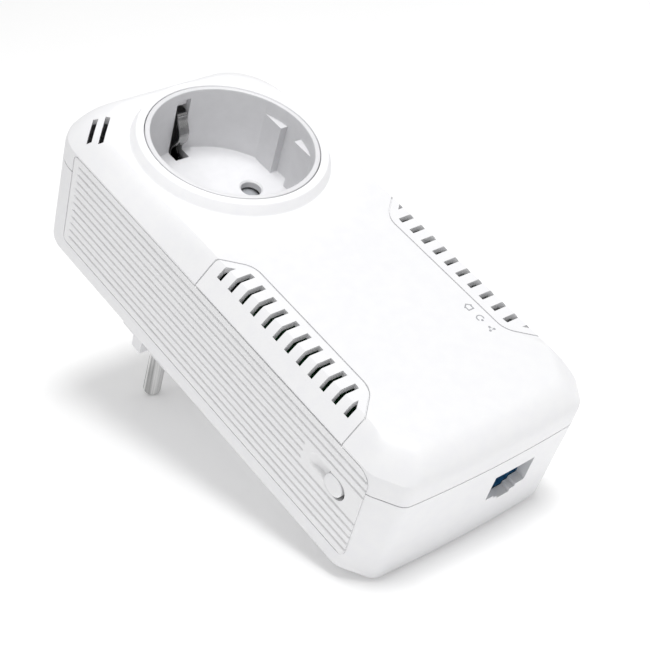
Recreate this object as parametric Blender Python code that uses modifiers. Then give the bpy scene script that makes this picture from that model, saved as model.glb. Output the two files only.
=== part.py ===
"""Plug-in powerline adapter with a pass-through socket, one LAN port and a pair button.

Frame: +Z is the front face's normal, the LAN end faces -Y, and the origin lies on the common
axis of the plug and the socket, at the back of the housing. Sizes are in metres.
"""

import math

import bmesh
import bpy
from mathutils import Matrix, Vector

mm = 0.001

# Socket
SOCKET_RADIUS = 19.75 * mm
CUP_WALL = 1.43 * mm
RING_GAP_RADIUS = SOCKET_RADIUS + CUP_WALL  # the line between the cup and the collar
COLLAR_LAND = 1.92 * mm  # flat top of the collar
COLLAR_FLARE = 1.1 * mm
COLLAR_TOP_RADIUS = RING_GAP_RADIUS + COLLAR_LAND
COLLAR_FOOT_RADIUS = COLLAR_TOP_RADIUS + COLLAR_FLARE
RING_TOP = 41.0 * mm
SOCKET_DEPTH = 18.1 * mm
CUP_FLOOR = 2.0 * mm
CUP_FLANGE_REACH = 1.3 * mm
CUP_FLANGE_THICK = 1.5 * mm
GUIDE_FACE = SOCKET_RADIUS - 2.25 * mm  # half the distance between opposite guide ribs
GUIDE_GROOVE = 5.5 * mm
GUIDE_TOP = 37.0 * mm
PIN_SPACING = 19.0 * mm
PIN_HOLE_RADIUS = 2.6 * mm
EARTH_SLOT_WIDTH = 4.0 * mm
EARTH_SLOT_INNER = SOCKET_RADIUS - 3.45 * mm
EARTH_SLOT_OUTER = RING_GAP_RADIUS + CUP_FLANGE_REACH + 1 * mm  # right through the cup's wall
EARTH_SLOT_TOP = 38.6 * mm
EARTH_CLIP_WIDTH = 2.9 * mm
EARTH_CLIP_THICK = 0.5 * mm
EARTH_CLIP_Y = SOCKET_RADIUS + 0.1 * mm
EARTH_CLIP_BOW = 2.35 * mm
EARTH_CLIP_LEAN = 0.35 * mm
EARTH_CLIP_RISE = 4.0 * mm  # straight part above the foot
EARTH_CLIP_TOP = 34.75 * mm
EARTH_FOOT = 19.6 * mm

# Housing
HALF_WIDTH = 30.6 * mm
LAN_END = -99.07 * mm  # y of the LAN end's corners at the seam
LAN_BOW = 0.85 * mm  # how far the LAN end bulges between its corners
LAN_DRAFT = 0.85 * mm  # how far the LAN end leans in from the seam to the back
SOCKET_END = COLLAR_FOOT_RADIUS + 6.3 * mm
FACET_X = 5.1 * mm  # upright facets at the LAN end's corners
FACET_Y = 7.17 * mm
CORNER_X = 10.0 * mm  # rounded corners of the socket end
CORNER_Y = 10.0 * mm
CROWN_CORNER_X = 13.2 * mm  # the same corners where they meet the flat front
CROWN_CORNER_Y = 14.0 * mm
SEAM = 26.4 * mm  # height of the parting line
FRONT = 38.2 * mm  # height of the flat front
SHOULDER_RUN = 4.55 * mm  # slope between the sides and the flat front
SHOULDER_DROP = 5.9 * mm
LAN_SHOULDER_RUN = 6.5 * mm  # rolled edge over the LAN end
LAN_SHOULDER_DROP = 7.8 * mm
END_SHOULDER_RUN = 4.5 * mm
END_SHOULDER_POWER = 2.7
SLOPE_INSET = math.hypot(SHOULDER_RUN, SHOULDER_DROP) / SHOULDER_DROP  # level inset per wall
CREASE_ROUND = 0.4 * mm
END_CREASE_ROUND = 0.6 * mm
BACK_ROUND = 2.0 * mm
WALL = 2.0 * mm
GAP = 0.3 * mm  # between pieces that touch
SINK = 0.5 * mm  # overlap of shapes that are joined

# Ribbed side panels
PANEL_BOTTOM = 5.45 * mm
PANEL_TOP = 31.5 * mm
PANEL_LAN_EDGE = -91.9 * mm
PANEL_SOCKET_EDGE = 19.3 * mm
PANEL_THICK = 1.65 * mm
PANEL_CORNER = 3.5 * mm  # the upper corner at the LAN end
PANEL_SMALL_CORNER = 1.2 * mm
PANEL_BACKING = 1.75 * mm  # housing wall behind a panel
INNER_HALF = HALF_WIDTH - PANEL_THICK - GAP - PANEL_BACKING  # half the room inside
RIB_COUNT = 12
GROOVE_WIDTH = 0.8 * mm
GROOVE_DEPTH = 0.5 * mm
PEG_RADIUS = 1.3 * mm
PEG_HEIGHT = 12.0 * mm
PEG_PLACES = (-66.0 * mm, -38.0 * mm, 8.0 * mm)

# Pair button
BUTTON_Y = -84.0 * mm
BUTTON_Z = 20.3 * mm
BUTTON_LENGTH = 6.4 * mm
BUTTON_HEIGHT = 5.0 * mm
BUTTON_PROUD = 0.45 * mm
BUTTON_TRAVEL = 0.5 * mm
BUTTON_CLEARANCE = 0.2 * mm
BUTTON_REACH = 5.2 * mm  # from the panel's face to the stem's inner end
STEM_END = -(HALF_WIDTH - BUTTON_REACH)
STEM_RADIUS = 1.2 * mm
SWITCH_SIDE = 5.6 * mm
SWITCH_DEPTH = 3.6 * mm
SWITCH_BORE = 1.6 * mm
PLUNGER_RADIUS = 1.5 * mm
PLUNGER_LENGTH = 1.4 * mm
PLUNGER_CLEARANCE = 0.15 * mm
POCKET_DEPTH = 0.8 * mm
POCKET_END = -74.9 * mm  # the finger dish's far end
PLAIN_FIELD_ROWS = (6, 7, 8)  # grooves that stop short of the button

# Vent grilles
VENT_WIDTH = 10.95 * mm  # from the housing's side to the inner edge
VENT_INNER = HALF_WIDTH - VENT_WIDTH
VENT_CREASE = HALF_WIDTH - SHOULDER_RUN
VENT_MIDDLE = -56.2 * mm
VENT_HALF_LONG = 26.4 * mm  # half length at the crease
VENT_SLOPE = 0.906  # of the slanted ends
VENT_CORNER = 5.9 * mm
VENT_SKIN = 1.3 * mm
LEDGE = 1.2 * mm
SLOT_COUNT = 12
SLOT_PITCH = 4.088 * mm
SLOT_WIDTH = 1.4 * mm
SLOT_MARGIN = 2.4 * mm  # from the parting line to the slots
SLOT_OUTER = HALF_WIDTH - 2.85 * mm

# Slanted slots at one corner of the socket end; ends measured from the side and the end
CORNER_SLOT_WIDTH = 1.3 * mm
CORNER_SLOTS = (
    ((2.5 * mm, 12.5 * mm), (7.6 * mm, 7.2 * mm)),
    ((3.8 * mm, 15.2 * mm), (9.9 * mm, 8.7 * mm)),
)
CORNER_SLOT_FLOOR = 33.0 * mm

# Shutter and contact carrier
CARRIER_TOP = 20.4 * mm
CARRIER_BOTTOM = 2.4 * mm
CARRIER_HALF_X = 16.0 * mm
CARRIER_HALF_Y = 15.6 * mm
SHUTTER_CHAMBER = 13.6 * mm
SHUTTER_REACH = 13.0 * mm
SHUTTER_HALF_WIDTH = 3.6 * mm
SHUTTER_THICK = 1.6 * mm
SHUTTER_BORE = 1.78 * mm
PIVOT_RADIUS = 1.7 * mm
SPRING_RADIUS = 2.9 * mm
SPRING_WIRE = 0.35 * mm
SPRING_TURNS = 3
SPRING_PITCH = 1.15 * mm
CONTACT_WIDTH = 6.0 * mm
CONTACT_THICK = 0.7 * mm
CONTACT_MOUTH = 2.9 * mm
CONTACT_PINCH = 2.15 * mm
CONTACT_BASE = 5.0 * mm
CONTACT_TOP = 16.6 * mm
CONTACT_POCKET = 4.0 * mm
BUSBAR_WIDTH = 4.0 * mm
STRAP_HEIGHT = 2.65 * mm

# Plug
PEDESTAL_RADIUS = 21.0 * mm
PEDESTAL_HEIGHT = 5.0 * mm
PLUG_FACE = -22.5 * mm
PLUG_RADIUS = 18.05 * mm
PLUG_FLAT = 15.4 * mm
TONGUE_REACH = 17.75 * mm
TONGUE_WIDTH = 3.72 * mm
PLUG_EDGE = 1.0 * mm
PIN_RADIUS = 2.4 * mm
PIN_LENGTH = 19.0 * mm
PIN_CLEARANCE = 0.1 * mm
PIN_TOP = 4.2 * mm
EARTH_STRIP_WIDTH = 5.6 * mm
EARTH_STRIP_THICK = 0.8 * mm
EARTH_STRIP_Y = 17.3 * mm
EARTH_HOLE_Y = 10.0 * mm
EARTH_HOLE_RADIUS = 2.6 * mm
SLEEVE_WALL = 0.5 * mm

# LAN port
PORT_X = HALF_WIDTH - 21.75 * mm
PORT_WIDTH = 12.4 * mm
PORT_TOP = 20.9 * mm
PORT_BOTTOM = 13.1 * mm
NOTCH_WIDTH = 7.0 * mm
NOTCH_DEPTH = 0.9 * mm
LATCH_WIDTH = 4.0 * mm
LATCH_DEPTH = 1.9 * mm
PORT_INSIDE = LAN_END + 1.15 * WALL  # inner face of the wall round the port
JACK_WIDTH = 16.2 * mm
JACK_DEPTH = 19.2 * mm
JACK_BOTTOM = 10.3 * mm
JACK_CAVITY = 16.2 * mm
JACK_FRONT = PORT_INSIDE + GAP
WIRE_COUNT = 8
WIRE_PITCH = 1.02 * mm
WIRE_THICK = 0.42 * mm

# Boards
MAIN_BOARD_BOTTOM = 24.6 * mm
POWER_BOARD_BOTTOM = 5.6 * mm
BOARD_THICK = 1.6 * mm
BOARD_SOCKET_EDGE = -25.6 * mm
BOARD_ROOM = 1.3 * mm  # from the main board's edge to the housing's wall
MAIN_BOARD_HALF = INNER_HALF - BOARD_ROOM
POWER_BOARD_HALF = MAIN_BOARD_HALF - 5.2 * mm
POWER_BOARD_LAN_EDGE = -80.0 * mm
CHIP_PLACE = (-2.0 * mm, -52.0 * mm)
CHIP_SIDE = 13.0 * mm
CHIP_HEIGHT = 1.1 * mm
TRANSFORMER_X = -5.4 * mm
TRANSFORMER_HALF = 9.5 * mm
LINK_WIDTH = 2.6 * mm
LINK_PINS = 5
LINK_PITCH = 2.54 * mm
LED_X = VENT_INNER - 2.55 * mm
LED_PLACES = (-67.6 * mm, -71.5 * mm, -75.3 * mm)
LED_HEIGHT = 0.8 * mm
LIGHT_WINDOW_RADIUS = 0.8 * mm
WINDOW_SKIN = 0.6 * mm  # left in the front over each light

# Screws
SCREW_PLACES = ((HALF_WIDTH - 9.2 * mm, -91.2 * mm), (HALF_WIDTH - 10.0 * mm, 20.2 * mm))
SCREW_RADIUS = 1.4 * mm
SCREW_HEAD_RADIUS = 2.7 * mm
SCREW_HEAD = 2.0 * mm
SCREW_HEAD_SEAT = 10.0 * mm
SCREW_LENGTH = 18.0 * mm
BOSS_SPLIT = 22.0 * mm
FRONT_BOSS_RADIUS = 3.0 * mm
REAR_BOSS_RADIUS = 4.1 * mm
BOARD_POST_X = MAIN_BOARD_HALF - 2.2 * mm
BOARD_POSTS = ((BOARD_POST_X, -34.0 * mm), (BOARD_POST_X, -70.0 * mm))
BOARD_POST_RADIUS = 2.0 * mm
POWER_POST_X = POWER_BOARD_HALF - 3.4 * mm
POWER_POSTS = ((POWER_POST_X, -31.0 * mm), (POWER_POST_X, -75.5 * mm))

ROUND = 64  # sides of the large turned shapes
SMALL_ROUND = 20

for old in list(bpy.data.objects):
    bpy.data.objects.remove(old)

parts = bpy.data.collections.new("powerline_adapter")
tools = bpy.data.collections.new("cutters")
for collection in (parts, tools):
    bpy.context.scene.collection.children.link(collection)


# Materials: colour, roughness, metallic
FINISHES = {
    "white_abs": ((0.86, 0.86, 0.87), 0.42, 0.0),
    "satin_white_panel": ((0.80, 0.80, 0.81), 0.50, 0.0),
    "grey_shutter": ((0.55, 0.55, 0.56), 0.45, 0.0),
    "black_carrier": ((0.05, 0.05, 0.05), 0.60, 0.0),
    "nickel_plate": ((0.72, 0.71, 0.69), 0.25, 1.0),
    "spring_bronze": ((0.70, 0.48, 0.25), 0.35, 1.0),
    "spring_steel": ((0.50, 0.50, 0.52), 0.35, 1.0),
    "zinc_screw": ((0.60, 0.60, 0.62), 0.40, 1.0),
    "blue_jack": ((0.02, 0.10, 0.28), 0.45, 0.0),
    "gold_contact": ((0.85, 0.62, 0.25), 0.30, 1.0),
    "green_board": ((0.03, 0.22, 0.10), 0.45, 0.0),
    "black_epoxy": ((0.03, 0.03, 0.03), 0.50, 0.0),
    "cast_aluminium": ((0.62, 0.63, 0.65), 0.45, 1.0),
    "ferrite": ((0.10, 0.10, 0.11), 0.70, 0.0),
    "yellow_film": ((0.75, 0.62, 0.12), 0.45, 0.0),
    "clear_acrylic": ((0.90, 0.92, 0.94), 0.15, 0.0),
}


def material(name):
    """One Principled material per finish, made once."""
    if name in bpy.data.materials:
        return bpy.data.materials[name]
    colour, roughness, metallic = FINISHES[name]
    made = bpy.data.materials.new(name)
    made.use_nodes = True
    shader = made.node_tree.nodes["Principled BSDF"]
    shader.inputs["Base Color"].default_value = (*colour, 1.0)
    shader.inputs["Roughness"].default_value = roughness
    shader.inputs["Metallic"].default_value = metallic
    return made


def as_part(piece, name, finish):
    """Names a finished shape and moves it from the tools to the parts."""
    piece.name = name
    piece.data.name = name
    tools.objects.unlink(piece)
    parts.objects.link(piece)
    piece.hide_render = False
    piece.display_type = "TEXTURED"
    piece.data.materials.clear()
    piece.data.materials.append(material(finish))
    piece.data.shade_smooth()
    piece.data.set_sharp_from_angle(angle=math.radians(32))
    return piece


def as_tool(mesh):
    piece = bpy.data.objects.new("tool", mesh)
    tools.objects.link(piece)
    piece.hide_render = True
    piece.display_type = "WIRE"
    return piece


def from_bmesh(shape):
    mesh = bpy.data.meshes.new("shape")
    bmesh.ops.recalc_face_normals(shape, faces=shape.faces)
    shape.to_mesh(mesh)
    shape.free()
    return as_tool(mesh)


def box(low, high):
    """A cuboid between two corners."""
    low, high = Vector(low), Vector(high)
    shape = bmesh.new()
    bmesh.ops.create_cube(shape, size=1.0)
    bmesh.ops.scale(shape, vec=high - low, verts=shape.verts)
    bmesh.ops.translate(shape, vec=(low + high) / 2, verts=shape.verts)
    return from_bmesh(shape)


def rod(start, end, radius, end_radius=None, sides=SMALL_ROUND):
    """A cylinder or cone between two points."""
    start, end = Vector(start), Vector(end)
    along = end - start
    shape = bmesh.new()
    bmesh.ops.create_cone(
        shape,
        cap_ends=True,
        segments=sides,
        radius1=radius,
        radius2=radius if end_radius is None else end_radius,
        depth=along.length,
    )
    turn = along.to_track_quat("Z", "Y").to_matrix().to_4x4()
    bmesh.ops.transform(shape, matrix=Matrix.Translation((start + end) / 2) @ turn, verts=shape.verts)
    return from_bmesh(shape)


def flat_plate(outline, low, high, axis="Z"):
    """A closed outline as a filled 2D curve, as thick as low to high along an axis."""
    curve = bpy.data.curves.new("outline", "CURVE")
    curve.dimensions = "2D"
    curve.fill_mode = "BOTH"
    curve.extrude = (high - low) / 2
    spline = curve.splines.new("POLY")
    spline.points.add(len(outline) - 1)
    for point, (u, v) in zip(spline.points, outline):
        point.co = (u, v, 0.0, 1.0)
    spline.use_cyclic_u = True
    drawn = bpy.data.objects.new("outline", curve)
    tools.objects.link(drawn)
    # the outline's own axes, as columns, and its middle
    frames = {
        "Z": ((1, 0, 0), (0, 1, 0), (0, 0, 1)),
        "X": ((0, 1, 0), (0, 0, 1), (1, 0, 0)),
        "Y": ((1, 0, 0), (0, 0, 1), (0, -1, 0)),
    }
    turn = Matrix(frames[axis]).transposed().to_4x4()
    middle = (high + low) / 2
    shift = {"Z": (0, 0, middle), "X": (middle, 0, 0), "Y": (0, middle, 0)}[axis]
    drawn.matrix_world = Matrix.Translation(shift) @ turn
    return baked(drawn)


def baked(piece):
    """The evaluated shape of a curve or a modified mesh, as a closed mesh in world space."""
    bpy.context.view_layer.update()
    evaluated = piece.evaluated_get(bpy.context.evaluated_depsgraph_get())
    mesh = bpy.data.meshes.new_from_object(evaluated)
    mesh.transform(piece.matrix_world)
    bpy.data.objects.remove(piece)
    shape = bmesh.new()
    shape.from_mesh(mesh)
    bpy.data.meshes.remove(mesh)
    bmesh.ops.remove_doubles(shape, verts=shape.verts, dist=1e-7)
    return from_bmesh(shape)


def turned(profile, sides=ROUND, centre=(0.0, 0.0)):
    """A profile of (radius, height) points turned about an upright axis."""
    shape = bmesh.new()
    points = [shape.verts.new((radius, 0.0, height)) for radius, height in profile]
    for first, second in zip(points, points[1:]):
        shape.edges.new((first, second))
    if profile[0][0] > 0 and profile[-1][0] > 0:
        shape.edges.new((points[-1], points[0]))
    mesh = bpy.data.meshes.new("profile")
    shape.to_mesh(mesh)
    shape.free()
    piece = as_tool(mesh)
    piece.location = (*centre, 0.0)
    spin = piece.modifiers.new("turn", "SCREW")
    spin.steps = spin.render_steps = sides
    spin.use_merge_vertices = True
    spin.merge_threshold = 1e-6
    spin.use_smooth_shade = False
    return baked(piece)


def loft(sections):
    """A skin through sections of equally many points, with both ends closed."""
    shape = bmesh.new()
    rings = [[shape.verts.new(point) for point in section] for section in sections]
    for lower, upper in zip(rings, rings[1:]):
        for i in range(len(lower)):
            j = (i + 1) % len(lower)
            shape.faces.new((lower[i], lower[j], upper[j], upper[i]))
    shape.faces.new(rings[0])
    shape.faces.new(rings[-1])
    bmesh.ops.remove_doubles(shape, verts=shape.verts, dist=1e-7)
    return from_bmesh(shape)


def strip(path, width, thick, across="X", centre=0.0):
    """A bent metal strip: a path in the plane square to `across`, given width and thickness."""
    shape = bmesh.new()
    for side in (centre - width / 2, centre + width / 2):
        row = [shape.verts.new((side, u, v) if across == "X" else (u, side, v)) for u, v in path]
        for first, second in zip(row, row[1:]):
            shape.edges.new((first, second))
    shape.verts.ensure_lookup_table()
    count = len(path)
    for i in range(count - 1):
        a, b = shape.verts[i], shape.verts[i + 1]
        c, d = shape.verts[count + i + 1], shape.verts[count + i]
        shape.faces.new((a, b, c, d))
    mesh = bpy.data.meshes.new("strip")
    shape.to_mesh(mesh)
    shape.free()
    piece = as_tool(mesh)
    skin = piece.modifiers.new("thickness", "SOLIDIFY")
    skin.thickness = thick
    skin.offset = 0.0
    skin.use_even_offset = True
    return baked(piece)


def combined(target, piece, operation):
    """Joins, cuts or keeps the common part of two shapes, and gives the result."""
    change = target.modifiers.new(operation.lower(), "BOOLEAN")
    change.operation = operation
    change.solver = "EXACT"
    change.object = piece
    bpy.context.view_layer.update()
    evaluated = target.evaluated_get(bpy.context.evaluated_depsgraph_get())
    mesh = bpy.data.meshes.new_from_object(evaluated)
    target.modifiers.clear()
    old = target.data
    target.data = mesh
    bpy.data.meshes.remove(old)
    bpy.data.objects.remove(piece)
    return target


def cut(target, *pieces):
    for piece in pieces:
        combined(target, piece, "DIFFERENCE")
    return target


def join(target, *pieces):
    for piece in pieces:
        combined(target, piece, "UNION")
    return target


def keep(target, piece):
    return combined(target, piece, "INTERSECT")


def several(pieces):
    """Shapes that don't meet, as one tool."""
    shape = bmesh.new()
    for piece in pieces:
        shape.from_mesh(piece.data)
        bpy.data.objects.remove(piece)
    return from_bmesh(shape)


def mirrored(piece):
    """A copy on the other side of the plane X = 0."""
    shape = bmesh.new()
    shape.from_mesh(piece.data)
    bmesh.ops.scale(shape, vec=(-1, 1, 1), verts=shape.verts)
    bmesh.ops.reverse_faces(shape, faces=shape.faces)
    return from_bmesh(shape)


def both_sides(places):
    return [(side * x, y) for x, y in places for side in (-1, 1)]


def arc(centre, reach, start, end, steps):
    """Points on an elliptic arc; reach is its half width and half height."""
    points = []
    for i in range(steps + 1):
        angle = math.radians(start + (end - start) * i / steps)
        points.append((centre[0] + reach[0] * math.cos(angle), centre[1] + reach[1] * math.sin(angle)))
    return points


def stadium(middle, length, height, steps=8):
    """A slot outline with round ends, long in its first direction."""
    u, v = middle
    radius = height / 2
    straight = length / 2 - radius
    right = arc((u + straight, v), (radius, radius), -90, 90, steps)
    left = arc((u - straight, v), (radius, radius), 90, 270, steps)
    return right + left


# The housing's outer form


def shoulder_fraction(z, drop):
    return min(max((z - (FRONT - drop)) / drop, 0.0), 1.0)


def back_rounding(z):
    """How far the form draws in near its back edge."""
    low = max(BACK_ROUND - z, 0.0)
    return BACK_ROUND - math.sqrt(BACK_ROUND**2 - low**2)


def side_reach(z):
    """Half width at a height: upright, then the slope, then a soft crease."""
    part = shoulder_fraction(z, SHOULDER_DROP)
    return HALF_WIDTH - SHOULDER_RUN * part - CREASE_ROUND * part**6 - back_rounding(z)


def lan_reach(z):
    """y of the LAN end's corners: a slight draft below the seam, a rolled edge at the front."""
    part = shoulder_fraction(z, LAN_SHOULDER_DROP)
    roll = LAN_SHOULDER_RUN * (1 - math.sqrt(1 - part**2))
    draft = LAN_DRAFT * max(1 - z / SEAM, 0.0)
    return LAN_END + roll + draft + back_rounding(z)


def socket_end_reach(z):
    part = shoulder_fraction(z, LAN_SHOULDER_DROP)
    slope = END_SHOULDER_RUN * part**END_SHOULDER_POWER
    return SOCKET_END - slope - END_CREASE_ROUND * part**6 - back_rounding(z)


def plan_outline(z, inset=0.0, widest=1.0):
    """The housing seen from the front at a height, drawn in by inset, as points round it."""
    half = min(side_reach(z) - inset, widest)
    lan = lan_reach(z) + inset
    end = socket_end_reach(z) - inset
    part = shoulder_fraction(z, LAN_SHOULDER_DROP)
    corner_x = CORNER_X + (CROWN_CORNER_X - CORNER_X) * part - inset
    corner_y = CORNER_Y + (CROWN_CORNER_Y - CORNER_Y) * part - inset
    bow_half = half - FACET_X
    bow_steps = 8
    right = []
    for i in range(bow_steps // 2 + 1):
        across = 2 * i / bow_steps
        right.append((bow_half * across, lan - LAN_BOW * (1 - across**2)))
    right.append((half, lan + FACET_Y))
    right += arc((half - corner_x, end - corner_y), (corner_x, corner_y), 0, 90, 8)
    left = [(-x, y) for x, y in reversed(right[1:])]
    return [Vector((x, y, z)) for x, y in right + left]


def form_heights(low, high):
    """Levels of the form: close together where it curves."""
    steps = 8
    shoulder = FRONT - LAN_SHOULDER_DROP
    levels = [BACK_ROUND * (1 - math.cos(math.radians(30 * i))) for i in range(4)]
    levels += [shoulder + LAN_SHOULDER_DROP * math.sin(math.radians(90 * i / steps)) for i in range(steps)]
    levels.append(FRONT - SHOULDER_DROP)
    return [low] + sorted(z for z in levels if low + 1e-6 < z < high - 1e-6) + [high]


def body_form(low, high, inset=0.0, widest=1.0):
    return loft([plan_outline(z, inset, widest) for z in form_heights(low, high)])


def inner_form(low, high):
    """The room inside the walls, which is narrower behind the side panels."""
    return body_form(low, high, WALL * 1.15, INNER_HALF)


# Outlines that two pieces share


def panel_outline(grow=0.0):
    """A side panel seen from the side (y, z); grow adds a clearance."""
    low_y, high_y = PANEL_LAN_EDGE - grow, PANEL_SOCKET_EDGE + grow
    low_z, high_z = PANEL_BOTTOM - grow, PANEL_TOP + grow
    big, small = PANEL_CORNER + grow, PANEL_SMALL_CORNER + grow
    corners = (
        (high_y - small, low_z + small, small, -90),
        (high_y - small, high_z - small, small, 0),
        (low_y + big, high_z - big, big, 90),
        (low_y + small, low_z + small, small, 180),
    )
    points = []
    for y, z, radius, start in corners:
        points += arc((y, z), (radius, radius), start, start + 90, 4)
    return points


def vent_outline(shrink=0.0):
    """The vent grille's parting line from the front, on the -X side, drawn in by shrink."""
    slant = math.hypot(1, VENT_SLOPE)
    inner = VENT_INNER + shrink
    outer_x = VENT_CREASE + shrink * (slant - 1) / VENT_SLOPE
    outer_y = VENT_HALF_LONG - shrink
    inner_y = outer_y - VENT_SLOPE * (outer_x - inner)
    turn = 90 - math.degrees(math.atan(VENT_SLOPE))
    radius = VENT_CORNER - shrink
    middle = (inner + radius, inner_y - radius * math.tan(math.radians(turn / 2)))
    upper = [(HALF_WIDTH + 1 * mm, outer_y), (outer_x, outer_y)]
    upper += arc(middle, (radius, radius), 180 - turn, 180, 4)
    lower = [(x, -y) for x, y in reversed(upper)]
    return [(-x, VENT_MIDDLE + y) for x, y in upper + lower]


def port_tool(start, end, grow=0.0):
    """The LAN port's opening from y start to end, with the stepped latch notch towards the back."""
    steps = ((PORT_WIDTH, 0.0), (NOTCH_WIDTH, NOTCH_DEPTH), (LATCH_WIDTH, LATCH_DEPTH))
    opening = None
    for width, drop in steps:
        half = width / 2 + grow
        low = PORT_BOTTOM - drop - grow
        high = PORT_TOP + grow if drop == 0 else PORT_BOTTOM + 1 * mm
        block = box((PORT_X - half, start, low), (PORT_X + half, end, high))
        opening = join(opening, block) if opening else block
    return opening


def panel_recess():
    """Room for both side panels, as one tool."""
    seat = HALF_WIDTH - PANEL_THICK - GAP
    outside = HALF_WIDTH + 2 * mm
    left = flat_plate(panel_outline(GAP), -outside, -seat, "X")
    right = flat_plate(panel_outline(GAP), seat, outside, "X")
    return several([left, right])


def peg_holes():
    seat = HALF_WIDTH - PANEL_THICK
    return several(
        [
            rod((side * (seat + 1 * mm), y, PEG_HEIGHT), (side * (seat - 4 * mm), y, PEG_HEIGHT), PEG_RADIUS + GAP)
            for side in (-1, 1)
            for y in PEG_PLACES
        ]
    )


# Housing pieces


def make_front_cover():
    cover = body_form(SEAM + GAP / 2, FRONT)
    collar = turned(
        [
            (RING_GAP_RADIUS - 1 * mm, FRONT - WALL),
            (RING_GAP_RADIUS - 1 * mm, RING_TOP),
            (COLLAR_TOP_RADIUS - 0.4 * mm, RING_TOP),
            (COLLAR_TOP_RADIUS, RING_TOP - 0.25 * mm),
            (COLLAR_FOOT_RADIUS - 0.3 * mm, FRONT + 0.5 * mm),
            (COLLAR_FOOT_RADIUS, FRONT),
            (COLLAR_FOOT_RADIUS, FRONT - WALL),
        ]
    )
    join(cover, collar)
    cut(cover, inner_form(SEAM - 1 * mm, FRONT - WALL))
    opening = RING_GAP_RADIUS + GAP / 2
    cut(cover, rod((0, 0, SEAM), (0, 0, RING_TOP + 1 * mm), opening, sides=ROUND))
    cut(cover, panel_recess())
    for x, y in both_sides(SCREW_PLACES):
        join(cover, rod((x, y, BOSS_SPLIT), (x, y, FRONT - WALL + SINK), FRONT_BOSS_RADIUS))
    pilots = [
        rod((x, y, BOSS_SPLIT - 1 * mm), (x, y, SCREW_HEAD_SEAT + SCREW_LENGTH + 1 * mm), SCREW_RADIUS + GAP)
        for x, y in both_sides(SCREW_PLACES)
    ]
    cut(cover, several(pilots))
    cut(cover, *vent_openings())
    cut(cover, corner_slots())
    windows = [
        rod((LED_X, y, FRONT - 2 * WALL), (LED_X, y, FRONT - WINDOW_SKIN), LIGHT_WINDOW_RADIUS + GAP, sides=12)
        for y in LED_PLACES
    ]
    cut(cover, several(windows))
    return as_part(cover, "front_cover", "white_abs")


def vent_openings():
    """A stepped opening for each grille: a pocket as deep as its skin, and a way through."""
    pocket = flat_plate(vent_outline(), PANEL_TOP + GAP, FRONT + 1 * mm)
    under = VENT_SKIN + GAP
    cut(pocket, body_form(SEAM, FRONT - under, under * SLOPE_INSET))
    through = flat_plate(through_outline(), PANEL_TOP + GAP, FRONT + 1 * mm)
    return [pocket, mirrored(pocket), through, mirrored(through)]


def through_outline():
    """The way through the cover under a grille, inside the ledge that carries it."""
    outer = SLOT_OUTER + GAP
    return [(max(x, -outer), y) for x, y in vent_outline(LEDGE)]


def corner_slots():
    """Two slanted slots at the socket end's -X corner."""
    cutters = []
    for ends in CORNER_SLOTS:
        start, end = [Vector((inset_x - HALF_WIDTH, SOCKET_END - inset_y, 0.0)) for inset_x, inset_y in ends]
        along = end - start
        slot = box(
            (-along.length / 2, -CORNER_SLOT_WIDTH / 2, CORNER_SLOT_FLOOR),
            (along.length / 2, CORNER_SLOT_WIDTH / 2, FRONT + 1 * mm),
        )
        turn = Matrix.Rotation(math.atan2(along.y, along.x), 4, "Z")
        slot.data.transform(Matrix.Translation((start + end) / 2) @ turn)
        cutters.append(slot)
    return several(cutters)


def make_vent_grille(side):
    grille = body_form(SEAM, FRONT)
    cut(grille, body_form(SEAM - 1 * mm, FRONT - VENT_SKIN, VENT_SKIN * SLOPE_INSET))
    keep(grille, flat_plate(vent_outline(GAP), PANEL_TOP + 2 * GAP, FRONT + 1 * mm))
    slots = []
    for i in range(SLOT_COUNT):
        y = VENT_MIDDLE + SLOT_PITCH * (i - (SLOT_COUNT - 1) / 2)
        low = (-SLOT_OUTER, y - SLOT_WIDTH / 2, PANEL_TOP)
        slots.append(box(low, (0.0, y + SLOT_WIDTH / 2, FRONT + 2 * mm)))
    # the slots end on a line parallel to the grille's edge
    field = flat_plate(vent_outline(SLOT_MARGIN), PANEL_TOP - 1 * mm, FRONT + 1 * mm)
    cut(grille, keep(several(slots), field))
    if side > 0:
        original = grille
        grille = mirrored(original)
        bpy.data.objects.remove(original)
    return as_part(grille, "vent_grille_" + ("left" if side < 0 else "right"), "white_abs")


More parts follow.
